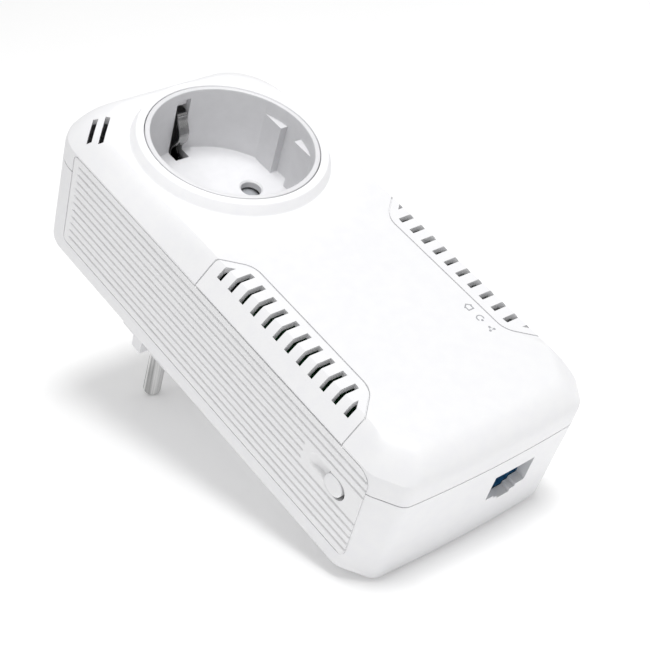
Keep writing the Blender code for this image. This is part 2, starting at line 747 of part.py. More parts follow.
def make_rear_housing():
    shell = body_form(0.0, SEAM - GAP / 2)
    pedestal = turned(
        [
            (0.0, SINK),
            (PEDESTAL_RADIUS, SINK),
            (PEDESTAL_RADIUS, -PEDESTAL_HEIGHT + 0.6 * mm),
            (PEDESTAL_RADIUS - 0.6 * mm, -PEDESTAL_HEIGHT),
            (0.0, -PEDESTAL_HEIGHT),
        ]
    )
    join(shell, pedestal)
    cut(shell, inner_form(WALL, SEAM + 1 * mm))
    cut(shell, panel_recess())
    cut(shell, peg_holes())
    well = PEDESTAL_HEIGHT - WALL
    cut(shell, rod((0, 0, -well), (0, 0, WALL + SINK), PEDESTAL_RADIUS - WALL, sides=ROUND))
    for x in (-PIN_SPACING / 2, PIN_SPACING / 2):
        cut(shell, rod((x, 0, -PEDESTAL_HEIGHT - 1 * mm), (x, 0, 0), PIN_RADIUS + PIN_CLEARANCE))
    sleeve = EARTH_HOLE_RADIUS + SLEEVE_WALL + GAP
    cut(shell, rod((0, EARTH_HOLE_Y, -PEDESTAL_HEIGHT - 1 * mm), (0, EARTH_HOLE_Y, 0), sleeve))
    for x, y in both_sides(SCREW_PLACES):
        join(shell, rod((x, y, WALL - SINK), (x, y, BOSS_SPLIT - GAP), REAR_BOSS_RADIUS))
    for x, y in both_sides(SCREW_PLACES):
        head = SCREW_HEAD_RADIUS + GAP
        cut(shell, rod((x, y, -1 * mm), (x, y, SCREW_HEAD_SEAT), head))
        cut(shell, rod((x, y, 0), (x, y, SEAM), SCREW_RADIUS + GAP))
    for x, y in both_sides(BOARD_POSTS):
        join(shell, rod((x, y, WALL - SINK), (x, y, MAIN_BOARD_BOTTOM - GAP), BOARD_POST_RADIUS, sides=12))
    for x, y in both_sides(POWER_POSTS):
        join(shell, rod((x, y, WALL - SINK), (x, y, POWER_BOARD_BOTTOM - GAP), BOARD_POST_RADIUS, sides=12))
    cut(shell, port_tool(LAN_END - 3 * mm, PORT_INSIDE + 1 * mm))
    return as_part(shell, "rear_housing", "white_abs")


def make_side_panel(side):
    """A ribbed cover plate, pegged to the housing; the -X one carries the pair button."""
    face = HALF_WIDTH
    panel = flat_plate(panel_outline(), face - PANEL_THICK, face, "X")
    pitch = (PANEL_TOP - PANEL_BOTTOM) / RIB_COUNT
    grooves = []
    for row in range(1, RIB_COUNT):
        z = PANEL_BOTTOM + pitch * row
        start = PANEL_LAN_EDGE - 1 * mm
        if side < 0 and row in PLAIN_FIELD_ROWS:
            start = POCKET_END + 1.5 * mm
        outline = [
            (face + GROOVE_DEPTH * 0.2, z - GROOVE_WIDTH * 0.6),
            (face + GROOVE_DEPTH * 0.2, z + GROOVE_WIDTH * 0.6),
            (face - GROOVE_DEPTH, z),
        ]
        grooves.append(flat_plate(outline, start, PANEL_SOCKET_EDGE - 1.2 * mm, "Y"))
    cut(panel, several(grooves))
    for y in PEG_PLACES:
        tip = face - PANEL_THICK - GAP - PANEL_BACKING
        join(panel, rod((face - PANEL_THICK + SINK, y, PEG_HEIGHT), (tip, y, PEG_HEIGHT), PEG_RADIUS, sides=12))
    if side < 0:
        button_end = BUTTON_Y - BUTTON_LENGTH / 2 - BUTTON_CLEARANCE
        middle = ((POCKET_END + button_end) / 2, BUTTON_Z)
        height = BUTTON_HEIGHT + 2 * BUTTON_CLEARANCE
        dish = stadium(middle, POCKET_END - button_end, height)
        cut(panel, flat_plate(dish, face - POCKET_DEPTH, face + 1 * mm, "X"))
        hole = stadium((BUTTON_Y, BUTTON_Z), BUTTON_LENGTH + 2 * BUTTON_CLEARANCE, height)
        cut(panel, flat_plate(hole, face - 3 * mm, face + 1 * mm, "X"))
        original = panel
        panel = mirrored(original)
        bpy.data.objects.remove(original)
    return as_part(panel, "side_panel_" + ("left" if side < 0 else "right"), "satin_white_panel")


# Socket pieces


def make_socket_cup():
    floor = RING_TOP - SOCKET_DEPTH
    outer = RING_GAP_RADIUS - GAP / 2
    flange_top = FRONT - WALL - GAP
    cup = turned(
        [
            (0.0, floor),
            (SOCKET_RADIUS - 0.4 * mm, floor),
            (SOCKET_RADIUS, floor + 0.4 * mm),
            (SOCKET_RADIUS, RING_TOP - 0.45 * mm),
            (SOCKET_RADIUS + 0.15 * mm, RING_TOP - 0.12 * mm),
            (SOCKET_RADIUS + 0.45 * mm, RING_TOP),
            (outer - 0.25 * mm, RING_TOP),
            (outer, RING_TOP - 0.25 * mm),
            (outer, flange_top),
            (outer + CUP_FLANGE_REACH, flange_top),
            (outer + CUP_FLANGE_REACH, flange_top - CUP_FLANGE_THICK),
            (outer, flange_top - CUP_FLANGE_THICK),
            (outer, floor - CUP_FLOOR),
            (0.0, floor - CUP_FLOOR),
        ]
    )
    inside_wall = (SOCKET_RADIUS + outer) / 2
    low_angle = math.degrees(math.asin(GUIDE_GROOVE / 2 / inside_wall))
    high_angle = math.degrees(math.acos(GUIDE_FACE / inside_wall))
    for side in (-1, 1):
        for end in (-1, 1):
            rim = arc((0, 0), (inside_wall, inside_wall), low_angle, high_angle, 5)
            outline = [(GUIDE_FACE, GUIDE_GROOVE / 2)] + rim
            outline = [(side * x, end * y) for x, y in outline]
            join(cup, flat_plate(outline, floor - SINK, GUIDE_TOP))
    for x in (-PIN_SPACING / 2, PIN_SPACING / 2):
        mouth = PIN_HOLE_RADIUS + 0.4 * mm
        hole = turned(
            [
                (0.0, floor + 1 * mm),
                (mouth, floor + 1 * mm),
                (mouth, floor),
                (PIN_HOLE_RADIUS, floor - 0.4 * mm),
                (PIN_HOLE_RADIUS, floor - CUP_FLOOR - 1 * mm),
                (0.0, floor - CUP_FLOOR - 1 * mm),
            ],
            24,
            (x, 0.0),
        )
        cut(cup, hole)
    half = EARTH_SLOT_WIDTH / 2
    for end in (-1, 1):
        low_y, high_y = sorted((end * EARTH_SLOT_INNER, end * EARTH_SLOT_OUTER))
        cut(cup, box((-half, low_y, floor - CUP_FLOOR - 1 * mm), (half, high_y, floor + SINK)))
        low_y, high_y = sorted((end * (SOCKET_RADIUS - 1 * mm), end * EARTH_SLOT_OUTER))
        cut(cup, box((-half, low_y, floor), (half, high_y, EARTH_SLOT_TOP)))
    return as_part(cup, "socket_cup", "white_abs")


def make_contact_carrier():
    """The insulating block under the cup: a chamber for the shutter, pockets for the contacts."""
    carrier = box((-CARRIER_HALF_X, -CARRIER_HALF_Y, CARRIER_BOTTOM), (CARRIER_HALF_X, CARRIER_HALF_Y, CARRIER_TOP))
    chamber_floor = CARRIER_TOP - SHUTTER_THICK - 2 * GAP
    cut(carrier, rod((0, 0, chamber_floor), (0, 0, CARRIER_TOP + 1 * mm), SHUTTER_CHAMBER, sides=40))
    spring_floor = chamber_floor - SPRING_TURNS * SPRING_PITCH - 4 * SPRING_WIRE
    cut(carrier, rod((0, 0, spring_floor), (0, 0, CARRIER_TOP), SPRING_RADIUS + 2 * SPRING_WIRE + GAP))
    join(carrier, rod((0, 0, spring_floor - SINK), (0, 0, CARRIER_TOP - GAP), PIVOT_RADIUS))
    for side in (-1, 1):
        x = side * PIN_SPACING / 2
        pocket = CONTACT_POCKET + GAP
        low = (x - pocket, -CONTACT_WIDTH / 2 - GAP, CARRIER_BOTTOM - 1 * mm)
        cut(carrier, box(low, (x + pocket, CONTACT_WIDTH / 2 + GAP, CONTACT_TOP + GAP)))
        cut(carrier, rod((x, 0, CONTACT_TOP - 1 * mm), (x, 0, CARRIER_TOP), PIN_HOLE_RADIUS))
        half = BUSBAR_WIDTH / 2 + GAP
        channel = box((x - half, -CARRIER_HALF_Y - 1 * mm, CARRIER_BOTTOM - 1 * mm), (x + half, 0, CONTACT_BASE + 2 * GAP))
        cut(carrier, channel)
    strap = EARTH_CLIP_WIDTH / 2 + GAP
    top = STRAP_HEIGHT + EARTH_CLIP_THICK + GAP
    cut(carrier, box((-strap, -CARRIER_HALF_Y - 1 * mm, CARRIER_BOTTOM - 1 * mm), (strap, CARRIER_HALF_Y + 1 * mm, top)))
    return as_part(carrier, "contact_carrier", "black_carrier")


def make_shutter():
    """A bar that covers both pin holes and turns aside when two pins press its ramps."""
    low = CARRIER_TOP - SHUTTER_THICK - GAP
    high = CARRIER_TOP - GAP
    bar = flat_plate(stadium((0, 0), 2 * SHUTTER_REACH, 2 * SHUTTER_HALF_WIDTH, 6), low, high)
    for side in (-1, 1):
        # a slanted face under each pin hole
        ramp = box((-4 * mm, -6 * mm, 0), (4 * mm, 6 * mm, 3 * mm))
        turn = Matrix.Rotation(math.radians(side * 14), 4, "X")
        ramp.data.transform(Matrix.Translation((side * PIN_SPACING / 2, 0, high - 0.5 * mm)) @ turn)
        cut(bar, ramp)
    cut(bar, rod((0, 0, low - 1 * mm), (0, 0, high + 1 * mm), SHUTTER_BORE))
    return as_part(bar, "shutter", "grey_shutter")


def make_shutter_spring():
    """The coil under the shutter, round its pivot."""
    curve = bpy.data.curves.new("coil", "CURVE")
    curve.dimensions = "3D"
    curve.bevel_depth = SPRING_WIRE
    curve.bevel_resolution = 1
    curve.use_fill_caps = True
    spline = curve.splines.new("POLY")
    steps = 12
    count = SPRING_TURNS * steps + 1
    spline.points.add(count - 1)
    top = CARRIER_TOP - SHUTTER_THICK - 2 * GAP - SPRING_WIRE
    for i, point in enumerate(spline.points):
        angle = 2 * math.pi * i / steps
        z = top - SPRING_PITCH * i / steps
        point.co = (SPRING_RADIUS * math.cos(angle), SPRING_RADIUS * math.sin(angle), z, 1.0)
    drawn = bpy.data.objects.new("coil", curve)
    tools.objects.link(drawn)
    return as_part(baked(drawn), "shutter_spring", "spring_steel")


def earth_clip_path(end):
    """The sprung strip from its foot up to the lip bent into the slot, as (y, z)."""
    foot = EARTH_FOOT + GAP
    low, high = foot + EARTH_CLIP_RISE, EARTH_CLIP_TOP - 2 * EARTH_CLIP_THICK
    points = [(EARTH_CLIP_Y, foot), (EARTH_CLIP_Y, low)]
    steps = 8
    for i in range(1, steps + 1):
        rise = i / steps
        bow = EARTH_CLIP_BOW * math.sin(math.pi * rise) ** 1.3
        points.append((EARTH_CLIP_Y - EARTH_CLIP_LEAN * rise - bow, low + (high - low) * rise))
    tip = EARTH_CLIP_Y - EARTH_CLIP_LEAN
    lip = EARTH_CLIP_TOP - EARTH_CLIP_THICK / 2
    points += [(tip + 0.1 * mm, lip - 0.2 * mm), (tip + 0.4 * mm, lip)]
    return [(end * y, z) for y, z in points]


def make_earth_clip(end):
    clip = strip(earth_clip_path(end), EARTH_CLIP_WIDTH, EARTH_CLIP_THICK)
    return as_part(clip, "earth_clip_" + ("upper" if end > 0 else "lower"), "nickel_plate")


def make_earth_strap():
    """The fixed strip that joins both earth clips round the carrier."""
    side = EARTH_CLIP_Y
    path = [(-side, EARTH_FOOT), (-side, STRAP_HEIGHT), (side, STRAP_HEIGHT), (side, EARTH_FOOT)]
    return as_part(strip(path, EARTH_CLIP_WIDTH, EARTH_CLIP_THICK), "earth_strap", "nickel_plate")


def make_contact(side):
    """A sprung fork that grips a pin pushed in from the front."""
    x = side * PIN_SPACING / 2
    half = []
    for reach, z in (
        (CONTACT_PINCH + 1.2 * mm, CONTACT_BASE),
        (CONTACT_PINCH + 1.2 * mm, CONTACT_BASE + 4 * mm),
        (CONTACT_PINCH + CONTACT_THICK / 2, CONTACT_BASE + 8.5 * mm),
        (CONTACT_MOUTH + CONTACT_THICK / 2, CONTACT_TOP - GAP),
    ):
        half.append((reach, z))
    path = [(x - reach, z) for reach, z in reversed(half)] + [(x + reach, z) for reach, z in half]
    fork = strip(path, CONTACT_WIDTH, CONTACT_THICK, across="Y")
    return as_part(fork, ("live" if side < 0 else "neutral") + "_contact", "spring_bronze")


def make_busbar(side):
    """The strip from a contact's foot to the power board."""
    x = side * PIN_SPACING / 2
    start = -CONTACT_WIDTH / 2 - GAP
    step = -CARRIER_HALF_Y - 2 * mm
    board = POWER_BOARD_BOTTOM + BOARD_THICK + GAP + CONTACT_THICK / 2
    path = [(start, CONTACT_BASE), (step, CONTACT_BASE), (step - 3 * mm, board), (BOARD_SOCKET_EDGE - 5 * mm, board)]
    bar = strip(path, BUSBAR_WIDTH, CONTACT_THICK, centre=x)
    return as_part(bar, ("live" if side < 0 else "neutral") + "_busbar", "spring_bronze")


# Plug pieces


def plug_outline(shrink=0.0):
    """The plug's contour: a circle with two flats, a tongue on each flat and two earth grooves."""
    radius = PLUG_RADIUS - shrink
    flat = PLUG_FLAT - shrink
    tongue = TONGUE_WIDTH / 2 - shrink
    groove = EARTH_STRIP_WIDTH / 2 + GAP
    flat_angle = math.degrees(math.acos(flat / radius))
    groove_angle = math.degrees(math.acos(groove / radius))
    depth = EARTH_STRIP_Y - EARTH_STRIP_THICK / 2 - GAP
    quarter = [(TONGUE_REACH - shrink, tongue), (flat, tongue)]
    quarter += arc((0, 0), (radius, radius), flat_angle, groove_angle, 8)
    quarter.append((groove, depth))
    points = quarter + [(-x, y) for x, y in reversed(quarter)]
    return points + [(-x, -y) for x, y in points]


def make_plug_base():
    top = -PEDESTAL_HEIGHT - GAP
    sections = [
        [Vector((x, y, z)) for x, y in plug_outline(shrink)]
        for z, shrink in ((top, 0.0), (PLUG_FACE + PLUG_EDGE, 0.0), (PLUG_FACE + 0.3 * PLUG_EDGE, 0.3 * PLUG_EDGE), (PLUG_FACE, PLUG_EDGE))
    ]
    base = loft(sections)
    for x in (-PIN_SPACING / 2, PIN_SPACING / 2):
        cut(base, rod((x, 0, PLUG_FACE - 1 * mm), (x, 0, top + 1 * mm), PIN_RADIUS + PIN_CLEARANCE))
    sleeve = EARTH_HOLE_RADIUS + SLEEVE_WALL + GAP
    cut(base, rod((0, EARTH_HOLE_Y, PLUG_FACE + 1.2 * mm), (0, EARTH_HOLE_Y, top + 1 * mm), sleeve))
    cut(base, rod((0, EARTH_HOLE_Y, PLUG_FACE - 1 * mm), (0, EARTH_HOLE_Y, top), EARTH_HOLE_RADIUS))
    half = EARTH_STRIP_WIDTH / 2 + GAP
    for end in (-1, 1):
        inner = end * (EARTH_STRIP_Y - 3.4 * mm)
        outer = end * (PLUG_RADIUS + 1 * mm)
        low_y, high_y = sorted((inner, outer))
        cut(base, box((-half, low_y, PLUG_FACE - 1 * mm), (half, high_y, PLUG_FACE + 2.4 * mm)))
    return as_part(base, "plug_base", "white_abs")


def make_plug_earth_strip(end):
    """The side contact that meets a socket's earth clip, hooked in at the plug's face."""
    low = PLUG_FACE + 0.8 * mm
    path = [
        (EARTH_STRIP_Y, -PEDESTAL_HEIGHT - 2 * GAP),
        (EARTH_STRIP_Y, low + 1.6 * mm),
        (EARTH_STRIP_Y - 1.0 * mm, low),
        (EARTH_STRIP_Y - 2.8 * mm, low),
    ]
    piece = strip([(end * y, z) for y, z in path], EARTH_STRIP_WIDTH, EARTH_STRIP_THICK)
    return as_part(piece, "plug_earth_strip_" + ("upper" if end > 0 else "lower"), "nickel_plate")


def make_pin(side):
    """A round contact pin with a domed tip."""
    tip = PLUG_FACE - PIN_LENGTH
    profile = [(0.0, PIN_TOP), (PIN_RADIUS - 0.3 * mm, PIN_TOP), (PIN_RADIUS, PIN_TOP - 0.3 * mm)]
    dome = PIN_RADIUS * 0.95
    for i in range(7):
        angle = math.radians(90 * i / 6)
        radius = PIN_RADIUS - 0.9 * mm + 0.9 * mm * math.cos(angle) if i < 6 else 0.0
        profile.append((radius if i < 6 else 0.0, tip + dome * (1 - math.sin(angle)) * 0.6))
    pin = turned(profile, 24, (side * PIN_SPACING / 2, 0.0))
    return as_part(pin, ("live" if side < 0 else "neutral") + "_pin", "nickel_plate")


def make_plug_earth_sleeve():
    """The socket for an earth pin that stands in the wall outlet."""
    inner, outer = EARTH_HOLE_RADIUS, EARTH_HOLE_RADIUS + SLEEVE_WALL
    low = PLUG_FACE + 1.5 * mm
    high = CARRIER_BOTTOM - GAP
    bottom = high - 1.5 * mm
    profile = [(0.0, bottom), (inner, bottom), (inner, low), (outer, low), (outer, high), (0.0, high)]
    sleeve = turned(list(reversed(profile)), 20, (0.0, EARTH_HOLE_Y))
    return as_part(sleeve, "plug_earth_sleeve", "nickel_plate")


# Button and switch


def make_pair_button():
    """A crowned oval cap on a stem that meets the switch."""
    face = HALF_WIDTH
    outline = stadium((0.0, 0.0), BUTTON_LENGTH, BUTTON_HEIGHT)
    crown = (
        (face - PANEL_THICK - GAP, 1.0),
        (face, 1.0),
        (face + BUTTON_PROUD * 0.6, 0.94),
        (face + BUTTON_PROUD * 0.9, 0.8),
        (face + BUTTON_PROUD, 0.55),
    )
    sections = [
        [Vector((-x, BUTTON_Y + u * size, BUTTON_Z + v * size)) for u, v in outline] for x, size in crown
    ]
    cap = loft(sections)
    back = -(face - PANEL_THICK - GAP)
    stem = rod((back - SINK, BUTTON_Y, BUTTON_Z), (STEM_END, BUTTON_Y, BUTTON_Z), STEM_RADIUS, sides=16)
    join(cap, stem)
    return as_part(cap, "pair_button", "white_abs")


def make_pair_switch():
    """A side-pressed tact switch hanging under the main board."""
    front = STEM_END + GAP + PLUNGER_LENGTH
    high = MAIN_BOARD_BOTTOM - GAP
    low = (front, BUTTON_Y - SWITCH_SIDE / 2, BUTTON_Z - SWITCH_SIDE / 2)
    body = box(low, (front + SWITCH_DEPTH, BUTTON_Y + SWITCH_SIDE / 2, high))
    bore = rod(
        (front - 1 * mm, BUTTON_Y, BUTTON_Z),
        (front + SWITCH_BORE, BUTTON_Y, BUTTON_Z),
        PLUNGER_RADIUS + PLUNGER_CLEARANCE,
    )
    cut(body, bore)
    return as_part(body, "pair_switch", "black_epoxy")


def make_pair_switch_plunger():
    start = STEM_END + GAP
    end = start + PLUNGER_LENGTH + SWITCH_BORE - BUTTON_TRAVEL - GAP
    plunger = rod((start, BUTTON_Y, BUTTON_Z), (end, BUTTON_Y, BUTTON_Z), PLUNGER_RADIUS, sides=16)
    return as_part(plunger, "pair_switch_plunger", "black_epoxy")


def make_button_hole():
    """Way through the housing wall for the button and its stem."""
    seat = HALF_WIDTH - PANEL_THICK
    outline = stadium((BUTTON_Y, BUTTON_Z), BUTTON_LENGTH + 4 * BUTTON_CLEARANCE, BUTTON_HEIGHT + 4 * BUTTON_CLEARANCE)
    return flat_plate(outline, -seat - 1 * mm, -seat + 5 * mm, "X")


# LAN jack


def make_lan_jack():
    back = JACK_FRONT + JACK_DEPTH
    half = JACK_WIDTH / 2
    jack = box((PORT_X - half, JACK_FRONT, JACK_BOTTOM), (PORT_X + half, back, MAIN_BOARD_BOTTOM - GAP))
    cut(jack, port_tool(JACK_FRONT - 1 * mm, JACK_FRONT + JACK_CAVITY, -0.1 * mm))
    return as_part(jack, "lan_jack", "blue_jack")


def make_lan_contacts():
    """Slanted spring wires on the carrier strip that holds them."""
    top = PORT_TOP - 0.1 * mm - GAP
    back = JACK_FRONT + JACK_CAVITY - GAP
    half = WIRE_COUNT * WIRE_PITCH / 2
    contacts = box((PORT_X - half, back - 1.4 * mm, top - 1.6 * mm), (PORT_X + half, back, top))
    path = [
        (back - 0.7 * mm, top - 0.6 * mm),
        (back - 10.5 * mm, top - 0.5 * mm),
        (back - 11.1 * mm, top - 1.0 * mm),
        (back - 3.4 * mm, top - 2.6 * mm),
    ]
    for i in range(WIRE_COUNT):
        x = PORT_X + WIRE_PITCH * (i - (WIRE_COUNT - 1) / 2)
        join(contacts, strip(path, WIRE_THICK, WIRE_THICK, centre=x))
    return as_part(contacts, "lan_contacts", "gold_contact")


# Boards and what stands on them


def make_main_board():
    lan_edge = PORT_INSIDE + 2 * GAP
    low, high = MAIN_BOARD_BOTTOM, MAIN_BOARD_BOTTOM + BOARD_THICK
    board = box((-MAIN_BOARD_HALF, lan_edge, low), (MAIN_BOARD_HALF, BOARD_SOCKET_EDGE, high))
    x, y = SCREW_PLACES[0]
    inner = x - FRONT_BOSS_RADIUS - 2 * GAP
    past = y + FRONT_BOSS_RADIUS + 2 * GAP
    for side in (-1, 1):
        low_x, high_x = sorted((side * inner, side * (MAIN_BOARD_HALF + 1 * mm)))
        cut(board, box((low_x, lan_edge - 1 * mm, low - 1 * mm), (high_x, past, high + 1 * mm)))
    return as_part(board, "main_board", "green_board")


def make_power_board():
    low, high = POWER_BOARD_BOTTOM, POWER_BOARD_BOTTOM + BOARD_THICK
    board = box((-POWER_BOARD_HALF, POWER_BOARD_LAN_EDGE, low), (POWER_BOARD_HALF, BOARD_SOCKET_EDGE, high))
    return as_part(board, "power_board", "green_board")


def on_power_board():
    return POWER_BOARD_BOTTOM + BOARD_THICK + GAP


def on_main_board():
    return MAIN_BOARD_BOTTOM + BOARD_THICK + GAP


def make_smps_transformer():
    """A ferrite E core round a wound bobbin."""
    x, y, base = TRANSFORMER_X, -46.0 * mm, on_power_board()
    long_half, deep_half, height = TRANSFORMER_HALF, 5.0 * mm, 14.5 * mm
    leg = 3.0 * mm
    core = box((x - long_half, y - deep_half, base), (x + long_half, y + deep_half, base + height))
    for side in (-1, 1):
        low_x, high_x = sorted((x + side * leg, x + side * (long_half - leg)))
        cut(core, box((low_x, y - deep_half - 1 * mm, base + leg), (high_x, y + deep_half + 1 * mm, base + height - leg)))
    winding = rod((x, y, base + leg - SINK), (x, y, base + height - leg + SINK), deep_half + 1.6 * mm, sides=32)
    keep(winding, box((x - long_half + leg - SINK, y - 9 * mm, base), (x + long_half - leg + SINK, y + 9 * mm, base + height)))
    return as_part(join(core, winding), "smps_transformer", "ferrite")


def make_bulk_capacitor():
    base = on_power_board()
    x, y, radius, height = 11.5 * mm, -42.0 * mm, 6.3 * mm, 15.5 * mm
    can = turned(
        [
            (0.0, base + height - 0.4 * mm),
            (radius - 1.0 * mm, base + height - 0.4 * mm),
            (radius - 0.8 * mm, base + height),
            (radius - 0.3 * mm, base + height),
            (radius, base + height - 0.4 * mm),
            (radius, base + 2.4 * mm),
            (radius - 0.5 * mm, base + 2.0 * mm),
            (radius, base + 1.6 * mm),
            (radius, base),
            (0.0, base),
        ],
        32,
        (x, y),
    )
    return as_part(can, "bulk_capacitor", "black_epoxy")


def make_board_block(name, finish, middle, size, base, bevel=0.4 * mm):
    """A moulded component: a block with softened edges standing on a board."""
    x, y = middle
    wide, deep, tall = size
    block = box((x - wide / 2, y - deep / 2, base), (x + wide / 2, y + deep / 2, base + tall))
    edge = block.modifiers.new("edge", "BEVEL")
    edge.width = bevel
    edge.segments = 1
    return as_part(baked(block), name, finish)


def make_line_choke():
    """A ring core standing flat on the power board."""
    x, y, base = -10.5 * mm, -66.0 * mm, on_power_board()
    ring, thick = 5.6 * mm, 2.4 * mm
    profile = [(ring + px, base + thick + pz) for px, pz in arc((0, 0), (thick, thick), 90, -255, 11)]
    return as_part(turned(profile, 28, (x, y)), "line_choke", "spring_bronze")


def make_heat_sink():
    """Straight fins over the main chip."""
    x, y = CHIP_PLACE
    base = on_main_board() + CHIP_HEIGHT + GAP
    half, floor, top = 10.5 * mm, 1.6 * mm, FRONT - WALL - 1.6 * mm
    sink = box((x - half, y - half, base), (x + half, y + half, top))
    fins = 7
    pitch = 2 * half / (fins - 0.5)
    for i in range(fins - 1):
        low = x - half + pitch * (i + 0.5)
        cut(sink, box((low, y - half - 1 * mm, base + floor), (low + pitch / 2, y + half + 1 * mm, top + 1 * mm)))
    return as_part(sink, "heat_sink", "cast_aluminium")


def make_light_pipe():
    """Three clear rods on one bar, from the LEDs to the front."""
    base = on_main_board() + LED_HEIGHT + GAP
    bar_low = base + 4 * mm
    half = 1.4 * mm
    low = (LED_X - half, LED_PLACES[-1] - half, bar_low)
    pipe = box(low, (LED_X + half, LED_PLACES[0] + half, bar_low + 1.6 * mm))
    top = FRONT - WINDOW_SKIN - GAP
    for y in LED_PLACES:
        join(pipe, rod((LED_X, y, base), (LED_X, y, top), LIGHT_WINDOW_RADIUS, sides=12))
    return as_part(pipe, "light_pipe", "clear_acrylic")


def make_board_link():
    """The pin header between both boards, beside the transformer, with its pins."""
    half = LINK_WIDTH / 2
    x, y = TRANSFORMER_X - TRANSFORMER_HALF - 1.4 * mm - half, -52.0 * mm
    base, high = on_power_board(), MAIN_BOARD_BOTTOM - GAP
    reach = LINK_PINS * LINK_PITCH / 2
    body = LINK_PITCH
    pin = 0.32 * mm
    link = box((x - half, y - reach, base), (x + half, y + reach, base + body))
    join(link, box((x - half, y - reach, high - body), (x + half, y + reach, high)))
    for i in range(LINK_PINS):
        pin_y = y + LINK_PITCH * (i - (LINK_PINS - 1) / 2)
        join(link, box((x - pin, pin_y - pin, base + body / 2), (x + pin, pin_y + pin, high - body / 2)))
    return as_part(link, "board_link", "black_epoxy")


def make_screw(number, x, y):
    """A pan-head screw with a cross recess, driven in from the back."""
    seat = SCREW_HEAD_SEAT - GAP
    profile = [
        (0.0, seat + SCREW_LENGTH),
        (0.5 * mm, seat + SCREW_LENGTH),
        (SCREW_RADIUS, seat + SCREW_LENGTH - 1.5 * mm),
        (SCREW_RADIUS, seat),
        (SCREW_HEAD_RADIUS, seat),
        (SCREW_HEAD_RADIUS, seat - 0.6 * SCREW_HEAD),
        (SCREW_HEAD_RADIUS * 0.7, seat - SCREW_HEAD),
        (0.0, seat - SCREW_HEAD),
    ]
    screw = turned(profile, 16, (x, y))
    long_half, thin_half = 1.5 * mm, 0.3 * mm
    for a, b in ((long_half, thin_half), (thin_half, long_half)):
        low = (x - a, y - b, seat - SCREW_HEAD - 1 * mm)
        cut(screw, box(low, (x + a, y + b, seat - 0.5 * SCREW_HEAD)))
    return as_part(screw, f"housing_screw_{number}", "zinc_screw")


def build():
    make_front_cover()
    housing = make_rear_housing()
    cut(housing, make_button_hole())
    for side in (-1, 1):
        make_vent_grille(side)
        make_side_panel(side)
        make_contact(side)
        make_busbar(side)
        make_pin(side)
    for end in (-1, 1):
        make_earth_clip(end)
        make_plug_earth_strip(end)
    make_socket_cup()
    make_contact_carrier()
    make_shutter()
    make_shutter_spring()
    make_earth_strap()
    make_plug_base()
    make_plug_earth_sleeve()
    make_pair_button()
    make_pair_switch()
    make_pair_switch_plunger()
    make_lan_jack()
    make_lan_contacts()
    make_main_board()
    make_power_board()
    make_smps_transformer()
    make_bulk_capacitor()
    make_line_choke()
    chip = (CHIP_SIDE, CHIP_SIDE, CHIP_HEIGHT)
    make_board_block("main_chip", "black_epoxy", CHIP_PLACE, chip, on_main_board(), 0.15 * mm)
    make_heat_sink()
    film = (13.0 * mm, 6.0 * mm, 11.0 * mm)
    make_board_block("film_capacitor", "yellow_film", (9.5 * mm, -55.5 * mm), film, on_power_board())
    fuse = (8.4 * mm, 4.2 * mm, 8.0 * mm)
    beside_edge = BOARD_SOCKET_EDGE - 5.4 * mm
    make_board_block("fuse", "black_epoxy", (0.0, beside_edge), fuse, on_power_board())
    coupling = (9.6 * mm, 10.0 * mm, 7.0 * mm)
    make_board_block("coupling_transformer", "ferrite", (7.5 * mm, -68.0 * mm), coupling, on_power_board())
    magnetics = (JACK_WIDTH - 1.2 * mm, 9.0 * mm, 5.4 * mm)
    under_board = MAIN_BOARD_BOTTOM - GAP - magnetics[2]
    make_board_block("lan_magnetics", "black_epoxy", (PORT_X, -72.0 * mm), magnetics, under_board)
    for number, y in enumerate(LED_PLACES, 1):
        lamp = (1.6 * mm, 1.6 * mm, LED_HEIGHT)
        make_board_block(f"led_{number}", "clear_acrylic", (LED_X, y), lamp, on_main_board(), 0.1 * mm)
    make_light_pipe()
    make_board_link()
    for number, (x, y) in enumerate(both_sides(SCREW_PLACES), 1):
        make_screw(number, x, y)


build()
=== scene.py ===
import math
import bmesh
import bpy
import numpy as np
from mathutils import Matrix, Vector


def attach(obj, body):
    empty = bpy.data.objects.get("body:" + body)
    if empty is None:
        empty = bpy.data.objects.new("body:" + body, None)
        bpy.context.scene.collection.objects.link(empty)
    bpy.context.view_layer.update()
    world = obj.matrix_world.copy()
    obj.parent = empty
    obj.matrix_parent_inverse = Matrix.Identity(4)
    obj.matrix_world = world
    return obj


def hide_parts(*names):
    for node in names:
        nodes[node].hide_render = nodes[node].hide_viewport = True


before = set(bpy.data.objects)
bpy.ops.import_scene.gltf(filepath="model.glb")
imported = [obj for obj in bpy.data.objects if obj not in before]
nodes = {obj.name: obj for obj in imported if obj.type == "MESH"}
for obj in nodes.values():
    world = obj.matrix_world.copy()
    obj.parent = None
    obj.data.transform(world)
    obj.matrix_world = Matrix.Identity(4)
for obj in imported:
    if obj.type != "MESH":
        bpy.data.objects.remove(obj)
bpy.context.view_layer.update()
print("loaded", len(nodes), "pieces of the powerline adapter")

mm = 0.001


def meshPiece(name, points, faces):
    # points in millimetres, faces as lists of indices; normals made to point outwards
    mesh = bpy.data.meshes.new(name)
    places = (np.asarray(points, float) * mm).tolist()
    mesh.from_pydata(places, [], [list(map(int, f)) for f in faces])
    shape = bmesh.new()
    shape.from_mesh(mesh)
    bmesh.ops.remove_doubles(shape, verts=shape.verts, dist=1e-7)
    bmesh.ops.recalc_face_normals(shape, faces=shape.faces)
    shape.to_mesh(mesh)
    shape.free()
    piece = bpy.data.objects.new(name, mesh)
    bpy.context.scene.collection.objects.link(piece)
    return piece


